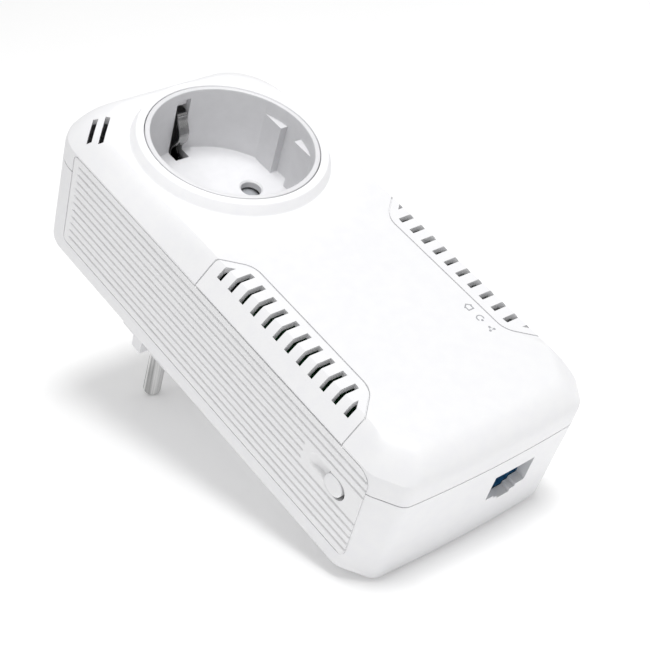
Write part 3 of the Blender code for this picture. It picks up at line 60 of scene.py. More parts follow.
def quadGrid(rows, columns, closedColumns=False):
    # the faces of a grid of rows x columns points, as whole index arrays
    i = np.arange(rows - 1)
    j = np.arange(columns if closedColumns else columns - 1)
    a, b = np.meshgrid(i, j, indexing="ij")
    c, d = a + 1, (b + 1) % columns
    corners = [a * columns + b, a * columns + d, c * columns + d, c * columns + b]
    return np.stack(corners, -1).reshape(-1, 4)


def ringSolid(name, rings):
    # rings (levels, points, 3) skinned one to the next, with a flat lid at both ends
    levels, count, _ = rings.shape
    faces = quadGrid(levels, count, closedColumns=True).tolist()
    faces.append(list(range(count))[::-1])
    faces.append(list(range((levels - 1) * count, levels * count)))
    return meshPiece(name, rings.reshape(-1, 3), faces)


def prism(name, outline, low, high, axis="z"):
    # a flat outline (u, v) carried from low to high along an axis
    u, v = np.asarray(outline, float).T
    ends = []
    for level in (low, high):
        w = np.full_like(u, level)
        ends.append(np.stack({"z": (u, v, w), "x": (w, u, v), "y": (u, w, v)}[axis], -1))
    return ringSolid(name, np.array(ends))


def block(name, low, high):
    (x0, y0, z0), (x1, y1, z1) = low, high
    return prism(name, [(x0, y0), (x1, y0), (x1, y1), (x0, y1)], z0, z1)


def turned(name, profile, sides=160, centre=(0, 0)):
    # point(a, i) = centre + radius_i * (cos a, sin a), height_i : a profile turned round an upright axis
    radius, height = np.asarray(profile, float).T
    a = np.linspace(0, 2 * np.pi, sides, endpoint=False)
    x = centre[0] + radius[:, None] * np.cos(a)
    y = centre[1] + radius[:, None] * np.sin(a)
    z = np.broadcast_to(height[:, None], x.shape)
    return ringSolid(name, np.stack([x, y, z], -1))


def rounded(profile, radius, steps=5):
    # each inner corner of a profile drawn as a curve: (1-t)^2 A + 2t(1-t) P + t^2 B
    p = np.asarray(profile, float)
    out = [p[:1]]
    t = np.linspace(0, 1, steps)[:, None]
    for before, corner, after in zip(p[:-2], p[1:-1], p[2:]):
        one, two = before - corner, after - corner
        reach = min(radius, np.linalg.norm(one) * 0.45, np.linalg.norm(two) * 0.45)  # under half a side
        start = corner + one / np.linalg.norm(one) * reach
        end = corner + two / np.linalg.norm(two) * reach
        out.append((1 - t) ** 2 * start + 2 * t * (1 - t) * corner + t**2 * end)
    out.append(p[-1:])
    return np.concatenate(out)


def rodBetween(name, start, end, radius, sides=48):
    # point(a, w) = start + w * (end - start) + radius * (side * cos a + other * sin a)
    start, end = np.asarray(start, float), np.asarray(end, float)
    along = (end - start) / np.linalg.norm(end - start)
    side = np.cross(along, [0.3, 0.5, 0.8])  # any direction the rods don't run in
    side /= np.linalg.norm(side)
    other = np.cross(along, side)
    a = np.linspace(0, 2 * np.pi, sides, endpoint=False)[:, None]
    ring = radius * (side * np.cos(a) + other * np.sin(a))
    return ringSolid(name, np.array([start + ring, end + ring]))


def carve(piece, operation, *others):
    # joins, cuts or keeps what two shapes share, and keeps the result as the piece's own mesh
    for other in others:
        change = piece.modifiers.new("carve", "BOOLEAN")
        change.operation, change.solver, change.object = operation, "EXACT", other
        bpy.context.view_layer.update()
        solved = piece.evaluated_get(bpy.context.evaluated_depsgraph_get())
        made = bpy.data.meshes.new_from_object(solved)
        piece.modifiers.clear()
        piece.data = made
        bpy.data.objects.remove(other)
    return piece


def mirroredCopy(piece, name):
    mesh = piece.data.copy()
    mesh.transform(Matrix.Scale(-1, 4, (1, 0, 0)))
    mesh.flip_normals()
    copy = bpy.data.objects.new(name, mesh)
    bpy.context.scene.collection.objects.link(copy)
    return copy


def settle(piece, body, finish, replaced=(), angle=28):
    # shading, material and place in the model of a finished piece
    piece.data.shade_smooth()
    piece.data.set_sharp_from_angle(angle=math.radians(angle))
    piece.data.materials.clear()
    piece.data.materials.append(finish)
    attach(piece, body)
    if replaced:
        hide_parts(*replaced)
    return piece


def linear(code):
    # an sRGB hex colour as linear RGBA
    values = [int(code[i:i + 2], 16) / 255 for i in (1, 3, 5)]
    return (*[v / 12.92 if v <= 0.04045 else ((v + 0.055) / 1.055) ** 2.4 for v in values], 1.0)


def addNode(tree, kind, settings=None, links=None):
    # one node; settings are its own properties or input values, links are (input name, output socket)
    node = tree.nodes.new(kind)
    for key, value in (settings or {}).items():
        if key in node.inputs:
            node.inputs[key].default_value = value
        else:
            setattr(node, key, value)
    for key, socket in (links or {}).items():
        tree.links.new(socket, node.inputs[key])
    return node


def patterned(name, light, dark, scale, roughness, bump, metallic=0.0, ior=None, stretch=(1, 1, 1)):
    # a mottle between two close colours, roughness that follows a finer one, and a fine bump;
    # scale in patterns per metre, bump in millimetres
    made = bpy.data.materials.new(name)
    made.use_nodes = True
    tree = made.node_tree
    shader = tree.nodes["Principled BSDF"]
    place = addNode(tree, "ShaderNodeTexCoord").outputs["Object"]
    place = addNode(tree, "ShaderNodeMapping", {"Scale": stretch}, {"Vector": place}).outputs["Vector"]
    broad = addNode(tree, "ShaderNodeTexNoise", {"Scale": scale / 12, "Detail": 2.0}, {"Vector": place})
    fine = addNode(tree, "ShaderNodeTexNoise", {"Scale": scale, "Detail": 3.0}, {"Vector": place})
    ramp = addNode(tree, "ShaderNodeValToRGB", None, {"Fac": broad.outputs["Fac"]})
    ends = ramp.color_ramp.elements
    ends[0].position, ends[1].position = 0.35, 0.65
    ends[0].color, ends[1].color = linear(dark), linear(light)
    tree.links.new(ramp.outputs["Color"], shader.inputs["Base Color"])
    spread = {"From Min": 0.3, "From Max": 0.7, "To Min": roughness[0], "To Max": roughness[1]}
    rough = addNode(tree, "ShaderNodeMapRange", spread, {"Value": fine.outputs["Fac"]})
    tree.links.new(rough.outputs["Result"], shader.inputs["Roughness"])
    depth = {"Strength": 1.0, "Distance": bump * mm}
    relief = addNode(tree, "ShaderNodeBump", depth, {"Height": fine.outputs["Fac"]})
    tree.links.new(relief.outputs["Normal"], shader.inputs["Normal"])
    shader.inputs["Metallic"].default_value = metallic
    if ior:
        shader.inputs["IOR"].default_value = ior
    return made


# injection-moulded ABS from a finely eroded tool: almost even colour, satin, grain of about 0.25 mm
absWhite = patterned("ABS moulded satin white", "#eaeaeb", "#e8e8ea", 4000, (0.38, 0.46), 0.006, ior=1.54)
# the side panels: the same ABS a little rougher and a shade lighter than the housing, painted light that
# lifts the shaded sides
absPanelPaintedLight = patterned("ABS satin panel, painted lighter", "#ececed", "#eaeaeb", 4000, (0.44, 0.52), 0.008, ior=1.54)
# the socket insert: the same ABS made grey, darker than the housing, as painted shade on the recess walls
absCupPaintedShade = patterned("ABS socket insert, painted shade grey", "#d1d1d3", "#ceced0", 4000, (0.40, 0.48), 0.006, ior=1.54)
# glass-filled polyamide: matt, slightly mottled
polyGrey = patterned("polyamide moulded grey", "#9b9da1", "#93959a", 2500, (0.45, 0.58), 0.01, ior=1.53)
polyBlack = patterned("polyamide moulded black", "#1c1c1e", "#161617", 2500, (0.5, 0.65), 0.012, ior=1.53)
# bright nickel on brass: neutral grey; on the pins, streaks along their length from near white to mid grey,
# partly drawing lines and partly painted reflection bands
nickel = patterned("nickel-plated brass drawn with painted reflection", "#f2f2f1", "#a4a4a4", 14000, (0.14, 0.24), 0.001,
                   metallic=1.0, stretch=(1, 1, 0.02))
nickelStrip = patterned("nickel-plated brass rolled strip", "#a8a8a7", "#909090", 1500, (0.13, 0.18),
                        0.0006, metallic=1.0, stretch=(4, 1, 1))
# rolled strip, drawn wire and cold-headed steel: metal as it leaves the tool, a little uneven in gloss
bronze = patterned("phosphor bronze rolled strip", "#c9985e", "#b9854c", 2500, (0.28, 0.42), 0.004,
                   metallic=1.0)
springSteel = patterned("spring steel drawn wire", "#a9a9ac", "#97979a", 3000, (0.25, 0.38), 0.003,
                        metallic=1.0)
zincSteel = patterned("steel zinc-plated cold-headed", "#b9babd", "#a6a7ab", 1800, (0.28, 0.45), 0.006,
                      metallic=1.0)
goldWire = patterned("gold-plated bronze wire", "#e0b45c", "#d2a44c", 3000, (0.2, 0.3), 0.002, metallic=1.0)
# the LAN insert: satin dark blue
bluePbt = patterned("PBT moulded dark blue", "#2b6a98", "#245c86", 2500, (0.35, 0.48), 0.008, ior=1.55)
# boards and their components
solderMask = patterned("glass epoxy with green solder mask", "#1c6b3c", "#155a31", 1200, (0.28, 0.42), 0.01,
                       ior=1.52)
epoxyBlack = patterned("epoxy moulded black", "#202022", "#18181a", 2500, (0.5, 0.62), 0.01, ior=1.55)
aluminiumFin = patterned("aluminium extruded plain", "#c2c4c7", "#b2b4b8", 900, (0.35, 0.5), 0.008,
                         metallic=1.0, stretch=(1, 8, 1))
ferrite = patterned("ferrite fired and ground", "#3a3a3d", "#2c2c2f", 1500, (0.6, 0.78), 0.02)
filmCase = patterned("polypropylene moulded yellow", "#d9bb3a", "#cdae2e", 2500, (0.35, 0.48), 0.008,
                     ior=1.5)
copperWinding = patterned("copper wire enamelled and wound", "#b8733a", "#9a5a2a", 1400, (0.25, 0.4), 0.05,
                          metallic=1.0, stretch=(1, 1, 6))
acrylic = patterned("acrylic moulded clear", "#eef2f4", "#e4eaee", 1500, (0.08, 0.16), 0.002, ior=1.49)
acrylic.node_tree.nodes["Principled BSDF"].inputs["Transmission Weight"].default_value = 0.8
iconInk = patterned("pad-printed grey ink", "#a3a4a8", "#9a9ba0", 4000, (0.5, 0.6), 0.002)

finishOf = {
    "contact_carrier": polyBlack, "shutter": polyGrey, "shutter_spring": springSteel,
    "earth_strap": nickelStrip, "earth_clip_upper": nickelStrip, "earth_clip_lower": nickelStrip,
    "live_contact": bronze, "neutral_contact": bronze, "live_busbar": bronze, "neutral_busbar": bronze,
    "live_pin": nickel, "neutral_pin": nickel, "plug_earth_sleeve": nickel,
    "plug_earth_strip_upper": nickelStrip, "plug_earth_strip_lower": nickelStrip,
    "pair_switch": epoxyBlack, "pair_switch_plunger": epoxyBlack, "lan_jack": bluePbt,
    "lan_contacts": goldWire, "lan_magnetics": epoxyBlack, "main_board": solderMask,
    "power_board": solderMask, "main_chip": epoxyBlack, "heat_sink": aluminiumFin,
    "smps_transformer": ferrite, "coupling_transformer": ferrite, "bulk_capacitor": epoxyBlack,
    "film_capacitor": filmCase, "fuse": epoxyBlack, "line_choke": copperWinding, "board_link": epoxyBlack,
    "light_pipe": acrylic, "led_1": acrylic, "led_2": acrylic, "led_3": acrylic,
}
for nodeName, node in nodes.items():
    finish = finishOf.get(nodeName, zincSteel if "screw" in nodeName else absWhite)
    node.data.materials.clear()
    node.data.materials.append(finish)
print("finishes made")


form = {
    "halfWidth": 30.6, "lanEnd": -99.07, "lanBow": 0.85, "lanDraft": 0.85, "socketEnd": 30.5,
    "facet": (5.1, 7.17), "facetRound": 1.8, "corner": (10.0, 10.0), "crownCorner": (13.2, 14.0),
    "seam": 26.4, "seamHalf": 0.15, "front": 38.2, "shoulder": (4.55, 5.9), "lanShoulder": (6.5, 7.8),
    "endShoulder": (4.5, 2.7), "crease": 0.4, "endCrease": 0.6, "backRound": 2.0, "wall": 2.2,
    "sideWall": 1.1, "innerHalf": 26.9,  # side walls 1.1 times as thick; the inside stops at 26.9
    "bowSteps": 15, "facetSteps": 7, "sideSteps": 14, "cornerSteps": 27, "levelSteps": 27,
}
# level inset for one unit of wall on the slope
slopeInset = math.hypot(*form["shoulder"]) / form["shoulder"][1]


def formRings(heights, inset=0.0, widest=math.inf):
    # the housing's plan outline at each height: a bowed LAN end, a facet, a straight side, an elliptic
    # corner (x/a)^2 + (y/b)^2 = 1 and a straight socket end, then the same mirrored
    z = np.asarray(heights, float)[:, None]
    f = form
    rise = np.clip((z - (f["front"] - f["lanShoulder"][1])) / f["lanShoulder"][1], 0, 1)
    slope = np.clip((z - (f["front"] - f["shoulder"][1])) / f["shoulder"][1], 0, 1)
    low = np.clip(f["backRound"] - z, 0, f["backRound"])
    back = f["backRound"] - np.sqrt(f["backRound"] ** 2 - low ** 2)
    half = f["halfWidth"] - f["shoulder"][0] * slope - f["crease"] * slope**6 - back - inset
    half = np.minimum(half, widest)
    lan = f["lanEnd"] + f["lanShoulder"][0] * (1 - np.sqrt(1 - rise**2))
    lan = lan + f["lanDraft"] * np.clip(1 - z / f["seam"], 0, 1) + back + inset
    end = (f["socketEnd"] - f["endShoulder"][0] * rise ** f["endShoulder"][1] - f["endCrease"] * rise**6
           - back - inset)
    cornerX = f["corner"][0] + (f["crownCorner"][0] - f["corner"][0]) * rise - inset
    cornerY = f["corner"][1] + (f["crownCorner"][1] - f["corner"][1]) * rise - inset
    (fx, fy), r = f["facet"], f["facetRound"]
    diagonal = math.hypot(fx, fy)
    dx, dy = fx / diagonal * r, fy / diagonal * r
    bowHalf = half - fx
    s = np.linspace(0, 1, f["bowSteps"])[None, :]
    across = (bowHalf - r) * s
    bow = lan - f["lanBow"] * (1 - (across / bowHalf) ** 2)
    parts = [(across, bow)]
    # both edges of the facet drawn as curves (1-t)^2 A + 2t(1-t) P + t^2 B
    t = np.linspace(0, 1, f["facetSteps"])[None, 1:]
    bowTurn = ((across[:, -1:], bow[:, -1:]), (bowHalf, lan), (bowHalf + dx, lan + dy))
    sideTurn = ((half - dx, lan + fy - dy), (half, lan + fy), (half, lan + fy + r))
    for a, p, b in (bowTurn, sideTurn):
        if parts[-1][0] is not across:
            parts.append((a[0], a[1]))
        x = (1 - t) ** 2 * a[0] + 2 * t * (1 - t) * p[0] + t**2 * b[0]
        y = (1 - t) ** 2 * a[1] + 2 * t * (1 - t) * p[1] + t**2 * b[1]
        parts.append((x, y))
    sideStart, sideEnd = lan + fy + r, end - cornerY
    s = np.linspace(0, 1, f["sideSteps"])[None, 1:-1]
    parts.append((half + 0 * s, sideStart + (sideEnd - sideStart) * s))
    a = np.linspace(0, np.pi / 2, f["cornerSteps"])[None, :]
    x = half - cornerX + cornerX * np.cos(a)
    y = end - cornerY + cornerY * np.sin(a)
    parts.append((x, y))
    columns = [[np.broadcast_to(p[k], (len(z), p[k].shape[1])) for p in parts] for k in (0, 1)]
    right = np.stack([np.concatenate(column, 1) for column in columns], -1)
    left = right[:, :0:-1] * (-1, 1)
    ring = np.concatenate([right, left], 1)
    return np.concatenate([ring, np.broadcast_to(z[:, :, None], (*ring.shape[:2], 1))], -1)


def formSolid(name, low, high, inset=0.0, widest=math.inf):
    # levels close together where the outline turns: at the back's round edge and over the LAN end
    f = form
    curve = np.sin(np.linspace(0, np.pi / 2, f["levelSteps"]))
    levels = np.concatenate([
        [low],
        f["backRound"] * (1 - np.cos(np.linspace(0, np.pi / 2, 8))),
        f["front"] - f["lanShoulder"][1] * (1 - curve),
        f["front"] - f["shoulder"][1] * np.linspace(1, 0.05, 8),
        [high],
    ])
    levels = np.unique(np.round(levels[(levels >= low) & (levels <= high)], 3))
    return ringSolid(name, formRings(levels, inset, widest))


panel = {
    "bottom": 5.45, "top": 31.5, "lanEdge": -91.9, "socketEdge": 19.3, "thick": 1.65, "ribs": 12,
    "seam": 0.34, "seamDepth": 0.34, "groove": 0.62, "grooveWidth": 0.78, "upperCorner": 3.5, "corner": 1.2,
    "endMargin": 1.4, "endFade": 0.8, "fieldRows": (6, 7, 8), "fieldEnd": -73.4, "fieldFade": 1.6,
    "spare": 0.2, "rowSteps": 14, "pocket": 0.06, "behind": 0.3,
}
button = {
    "y": -84.0, "z": 20.3, "length": 6.4, "height": 5.0, "proud": 0.45, "clear": 0.2, "endGap": 0.75,
    "stem": 1.2, "stemEnd": -25.4, "stemClear": 0.8, "sunk": 0.1, "crownInset": 0.45,
    "dishDepth": 1.2, "dishEnd": -74.2, "dishEdge": 0.6, "dishRise": 1.6,
    "dishClimb": 0.9, "climbLength": 5, "climbTaper": 0.7,
}


def panelOutline(grow=0.0, steps=7):
    p = panel
    y0, y1 = p["lanEdge"] - grow, p["socketEdge"] + grow
    z0, z1 = p["bottom"] - grow, p["top"] + grow
    big, small = p["upperCorner"] + grow, p["corner"] + grow
    a = np.linspace(0, np.pi / 2, steps)
    corners = ((y1 - small, z0 + small, small, -90), (y1 - small, z1 - small, small, 0),
               (y0 + big, z1 - big, big, 90), (y0 + small, z0 + small, small, 180))
    return np.concatenate([
        np.stack([y + r * np.cos(a + math.radians(start)), z + r * np.sin(a + math.radians(start))], -1)
        for y, z, r, start in corners
    ])


def stadium(u, v, length, height, steps=16):
    # a slot outline with round ends, counter-clockwise
    r, straight = height / 2, length / 2 - height / 2
    a = np.linspace(-np.pi / 2, np.pi / 2, steps)
    right = np.stack([u + straight + r * np.cos(a), v + r * np.sin(a)], -1)
    left = np.stack([u - straight - r * np.cos(a), v - r * np.sin(a)], -1)
    return np.concatenate([right, left])


def smoothStep(x):
    x = np.clip(x, 0, 1)
    return x * x * (3 - 2 * x)


def fingerDish(yy, zz):
    # a trough that is deepest at the button, climbs a little and rises to the surface at its far end
    b = button
    radius = b["height"] / 2 + b["clear"]
    far = b["dishEnd"] - radius
    along = np.clip(yy, b["y"], far)
    climb = b["dishClimb"] * smoothStep((along - b["y"]) / b["climbLength"])
    radius = radius - climb * b["climbTaper"]
    distance = np.hypot(yy - along, zz - b["z"] - climb)
    run = np.clip((b["dishEnd"] - yy) / (b["dishEnd"] - b["y"] - b["length"] / 2), 0, 1)
    edge, rise = smoothStep((radius - distance) / b["dishEdge"]), smoothStep(run * b["dishRise"])
    return b["dishDepth"] * edge * rise


def makePanel(name, side):
    # x(y, z) = face - the greater of grooves(z) * fade(y) and dish(y, z), over the panel's rectangle
    p, b = panel, button
    face = form["halfWidth"]
    pitch = (p["top"] - p["bottom"]) / p["ribs"]
    z = np.linspace(p["bottom"] - p["spare"], p["top"] + p["spare"], p["ribs"] * p["rowSteps"] + 1)
    # the grid's lines along y as (from, to, how many), closest round the button and the field
    runs = ((p["lanEdge"] - p["spare"], -88.5, 8), (-88.3, -72.0, 70), (-71.0, p["socketEdge"] - 3, 24),
            (p["socketEdge"] - 2.6, p["socketEdge"] + p["spare"], 12))
    y = np.concatenate([np.linspace(*run) for run in runs])
    yy, zz = np.meshgrid(y, z, indexing="ij")
    row = np.round((zz - p["bottom"]) / pitch)
    off = np.abs(zz - p["bottom"] - row * pitch)
    flank = 1 - smoothStep(off / (p["grooveWidth"] / 2) * 1.4 - 0.4)  # a flat floor and rounded flanks
    line = np.where((row >= 1) & (row <= p["ribs"] - 1), flank, 0)
    fade = smoothStep((p["socketEdge"] - p["endMargin"] - yy) / p["endFade"])
    if side < 0:
        inField = np.isin(row, p["fieldRows"])
        fade = fade * np.where(inField, smoothStep((yy - p["fieldEnd"]) / p["fieldFade"]), 1)
    depth = p["groove"] * line * fade
    if side < 0:
        depth = np.maximum(depth, fingerDish(yy, zz))
    front = np.stack([side * (face - depth), yy, zz], -1).reshape(-1, 3)
    rear = np.stack([side * (face - p["thick"] + 0 * depth), yy, zz], -1).reshape(-1, 3)
    rows, columns = yy.shape
    grid = quadGrid(rows, columns)
    rim = np.concatenate([
        np.arange(columns), np.arange(1, rows) * columns + columns - 1,
        (rows - 1) * columns + np.arange(columns - 2, -1, -1), np.arange(rows - 2, 0, -1) * columns,
    ])
    after = np.roll(rim, -1)
    count = rows * columns
    walls = np.stack([rim, rim + count, after + count, after], -1)
    faces = np.concatenate([grid, grid[:, ::-1] + count, walls])
    piece = meshPiece(name, np.concatenate([front, rear]), faces)
    low, high = sorted((side * (face - 3), side * (face + 1)))
    carve(piece, "INTERSECT", prism("tool", panelOutline(), low, high, "x"))
    if side < 0:
        hole = stadium(b["y"], b["z"], b["length"] + 2 * b["clear"], b["height"] + 2 * b["clear"])
        carve(piece, "DIFFERENCE", prism("tool", hole, low, high, "x"))
    return piece


# the panels' lighter grey is painted light on the shaded sides
settle(makePanel("leftRibbedPanel", -1), "housing", absPanelPaintedLight, ["side_panel_left"])
settle(makePanel("rightRibbedPanel", 1), "housing", absPanelPaintedLight, ["side_panel_right"])
print("side panels made")


def panelRecess():
    # a close-fitting pocket, and round its mouth a shallow groove that shows as the seam
    p = panel
    face, outside = form["halfWidth"], form["halfWidth"] + 2
    tools = []
    for grow, back in ((p["pocket"], face - p["thick"] - p["behind"]), (p["seam"], face - p["seamDepth"])):
        outline = panelOutline(grow)
        tools += [prism("tool", outline, -outside, -back, "x"), prism("tool", outline, back, outside, "x")]
    return tools


vent = {
    "inner": 19.65, "middle": -56.2, "halfLong": 26.4, "crease": 26.05, "slope": 0.906, "cornerRound": 5.9,
    "skin": 1.5, "gap": 0.34, "seamDepth": 0.42, "ledgeGap": 0.05, "foot": 31.8, "footGap": 0.25,
    "slots": 12, "pitch": 4.088, "shift": -0.1, "width": 1.5, "slotOuter": 27.75, "margin": 2.2,
}
cornerSlots = {
    "width": 1.15, "floor": 33.0,
    "lines": (((28.1, 18.0), (23.0, 23.3)), ((26.8, 15.3), (20.7, 21.8))),
}


def ventOutline(shrink=0.0):
    # straight ends, slanted lines y = c - slope * x and an arc of the corner's radius into the inner edge
    v = vent
    slant = math.hypot(1, v["slope"])
    inner = v["inner"] + shrink
    outerX, outerY = v["crease"] + shrink * (slant - 1) / v["slope"], v["halfLong"] - shrink
    turn = np.pi / 2 - math.atan(v["slope"])
    radius = v["cornerRound"] - shrink
    middleY = outerY - v["slope"] * (outerX - inner) - radius * math.tan(turn / 2)
    a = np.linspace(np.pi - turn, np.pi, 12)
    arc = np.stack([inner + radius + radius * np.cos(a), middleY + radius * np.sin(a)], -1)
    upper = np.concatenate([[(32.0, outerY), (outerX, outerY)], arc])
    return np.concatenate([upper, upper[::-1] * (1, -1)]) * (-1, 1) + (0, v["middle"])


def slotBars():
    # straight bars that end on a line parallel to the grille's own edge
    v = vent
    bars = []
    for y in v["middle"] + v["shift"] + v["pitch"] * (np.arange(v["slots"]) - (v["slots"] - 1) / 2):
        low = (-v["slotOuter"], y - v["width"] / 2, v["foot"] - 2)
        bar = block("tool", low, (0, y + v["width"] / 2, 42))
        bars.append(carve(bar, "INTERSECT", prism("tool", ventOutline(v["margin"]), v["foot"] - 4, 40)))
    return bars


# the seam is a shallow groove: under it a ledge of the grille reaches almost to the cover
ventFoot = vent["foot"] + vent["footGap"]
leftGrille = formSolid("leftVentGrille", 26.0, form["front"])
carve(leftGrille, "INTERSECT", prism("tool", ventOutline(vent["gap"]), ventFoot, 40))
ledge = formSolid("tool", 26.0, form["front"] - vent["seamDepth"], vent["seamDepth"] * slopeInset)
carve(ledge, "INTERSECT", prism("tool", ventOutline(vent["ledgeGap"]), ventFoot, 40))
carve(leftGrille, "UNION", ledge)
inside = formSolid("tool", 20.0, form["front"] - vent["skin"], vent["skin"] * slopeInset)
carve(leftGrille, "DIFFERENCE", inside)
carve(leftGrille, "DIFFERENCE", *slotBars())
rightGrille = mirroredCopy(leftGrille, "rightVentGrille")
settle(leftGrille, "housing", absWhite, ["vent_grille_left"])
settle(rightGrille, "housing", absWhite, ["vent_grille_right"])
print("vent grilles made")


ring = {
    "radius": 19.75, "top": 41.0, "gapRadius": 21.18, "floor": 22.9, "gap": 0.05, "gapFlare": 0.25,
    "collarInner": 20.2, "collarLow": 36.0, "collarTop": 23.1, "collarFoot": 24.2, "collarRound": 0.35,
}

frontCover = formSolid("frontCoverShell", form["seam"] + form["seamHalf"], form["front"])
low, high, foot = ring["collarLow"], ring["top"], ring["collarFoot"]
collar = [(ring["collarInner"], low), (ring["collarInner"], high), (ring["collarTop"], high),
          (foot, form["front"] + 0.15), (foot + 0.5, form["front"] - 0.25), (foot + 0.5, low)]
carve(frontCover, "UNION", turned("tool", rounded(collar, ring["collarRound"]), 192))
sideInset = form["wall"] * form["sideWall"]
inside = formSolid("tool", 20.0, form["front"] - form["wall"], sideInset, form["innerHalf"])
carve(frontCover, "DIFFERENCE", inside)
opening = ring["gapRadius"] + ring["gap"]
bore = [(opening, 20), (opening, ring["top"] - 0.2), (opening + ring["gapFlare"], ring["top"] + 0.05),
        (opening + ring["gapFlare"], 44)]
carve(frontCover, "DIFFERENCE", turned("tool", bore, 192), *panelRecess())
leftPocket = prism("tool", ventOutline(), vent["foot"], 44)
carve(frontCover, "DIFFERENCE", mirroredCopy(leftPocket, "tool"), leftPocket)
for start, end in cornerSlots["lines"]:
    start, end = np.array(start), np.array(end)
    along = (end - start) / np.linalg.norm(end - start)
    across = np.array([-along[1], along[0]]) * cornerSlots["width"] / 2
    outline = np.array([start - across, end - across, end + across, start + across]) * (-1, 1)
    carve(frontCover, "DIFFERENCE", prism("tool", outline, cornerSlots["floor"], 44))
settle(frontCover, "housing", absWhite, ["front_cover"])
print("front cover made")


port = {
    "x": 8.85, "width": 12.4, "top": 20.9, "bottom": 13.1, "notch": (7.0, 0.9), "latch": (4.0, 1.9),
    "inside": -95.8,
}
plug = {
    "pedestal": 21.0, "pedestalHeight": 5.0, "pedestalRound": 0.8, "hollow": 19.0,
    "hollowHeights": (-3.0, 2.5), "face": -22.5, "radius": 18.05, "flat": 15.4, "tongue": 17.75,
    "tongueWidth": 3.72, "edge": 1.0, "pin": 2.4, "pinClear": 0.1, "pinTop": 4.2, "pinBevel": 0.3,
    "pinTip": (1.1, 1.35), "pinLength": 19.0, "spacing": 19.0, "stripWidth": 5.6, "stripClear": 0.3,
    "stripY": 17.3, "stripGroove": 0.7, "stripFoot": 13.9, "stripSink": 2.4, "earthHole": 2.6,
    "earthMouth": 3.2, "earthSleeve": 3.4, "earthHoleY": 10.0,
}
screws = {
    "places": ((21.4, -91.2), (20.6, 20.2)), "head": 3.0, "chamfer": 0.3, "seat": 10.0, "shank": 1.7,
    "post": 4.1, "postTop": 21.7, "holeTop": 24,
}
pinPlaces = (-plug["spacing"] / 2, plug["spacing"] / 2)
pinHole, earthY = plug["pin"] + plug["pinClear"], plug["earthHoleY"]


def portBlocks(start, end):
    # the opening and its two steps towards the back, each a little narrower and lower
    p = port
    steps = ((p["width"], p["bottom"], p["top"]),
             (p["notch"][0], p["bottom"] - p["notch"][1], p["bottom"] + 1),
             (p["latch"][0], p["bottom"] - p["latch"][1], p["bottom"] + 1))
    x = p["x"]
    return [block("tool", (x - w / 2, start, low), (x + w / 2, end, high)) for w, low, high in steps]


axisRadius = 0.01  # the radius that closes a turned solid at its axis
rearShell = formSolid("rearHousingShell", 0.0, form["seam"] - form["seamHalf"])
pedestal = [(axisRadius, 0.5), (plug["pedestal"], 0.5), (plug["pedestal"], -plug["pedestalHeight"]),
            (axisRadius, -plug["pedestalHeight"])]
carve(rearShell, "UNION", turned("tool", rounded(pedestal, plug["pedestalRound"]), 160))
inside = formSolid("tool", form["wall"], 30.0, sideInset, form["innerHalf"])
carve(rearShell, "DIFFERENCE", inside, *panelRecess())
carve(rearShell, "DIFFERENCE", *portBlocks(-103, port["inside"]))
for x, y in [(side * x, y) for x, y in screws["places"] for side in (-1, 1)]:
    head, seat, shank, deep = screws["head"], screws["seat"], screws["shank"], screws["holeTop"]
    wide = head + screws["chamfer"]
    post = [(axisRadius, 1.0), (screws["post"], 1.0), (screws["post"], screws["postTop"]),
            (axisRadius, screws["postTop"])]
    carve(rearShell, "UNION", turned("tool", post, 40, (x, y)))
    # the head's well with its chamfer, and the narrower hole for the shank
    well = [(axisRadius, -1), (wide, -1), (wide, -0.05), (head, 0.3), (head, seat), (shank, seat),
            (shank, deep), (axisRadius, deep)]
    carve(rearShell, "DIFFERENCE", turned("tool", well, 40, (x, y)))
wide, (low, high) = plug["hollow"], plug["hollowHeights"]
hollow = [(axisRadius, low), (wide, low), (wide, high), (axisRadius, high)]
carve(rearShell, "DIFFERENCE", turned("tool", hollow, 96))
for x in pinPlaces:
    carve(rearShell, "DIFFERENCE", rodBetween("tool", (x, 0, -7), (x, 0, 0), pinHole))
carve(rearShell, "DIFFERENCE", rodBetween("tool", (0, earthY, -7), (0, earthY, 0), plug["earthSleeve"]))
spare = button["stemClear"]
stem = stadium(button["y"], button["z"], button["length"] + spare, button["height"] + spare)
carve(rearShell, "DIFFERENCE", prism("tool", stem, -32, -24, "x"))
settle(rearShell, "housing", absWhite, ["rear_housing"])
print("rear housing made")


def plugOutline(shrink=0.0):
    # a circle cut by two flats, with a tongue on each flat and a flat-bottomed groove for each earth strip
    p = plug
    radius, flat, half = p["radius"] - shrink, p["flat"] - shrink, p["tongueWidth"] / 2 - shrink
    groove, depth = p["stripWidth"] / 2 + p["stripClear"], p["stripY"] - p["stripGroove"]
    a = np.linspace(math.acos(flat / radius), math.acos(groove / radius), 22)
    arc = np.stack([radius * np.cos(a), radius * np.sin(a)], -1)
    quarter = np.concatenate([[(p["tongue"] - shrink, half), (flat, half)], arc, [(groove, depth)]])
    upper = np.concatenate([quarter, quarter[::-1] * (-1, 1)])
    return np.concatenate([upper, -upper])


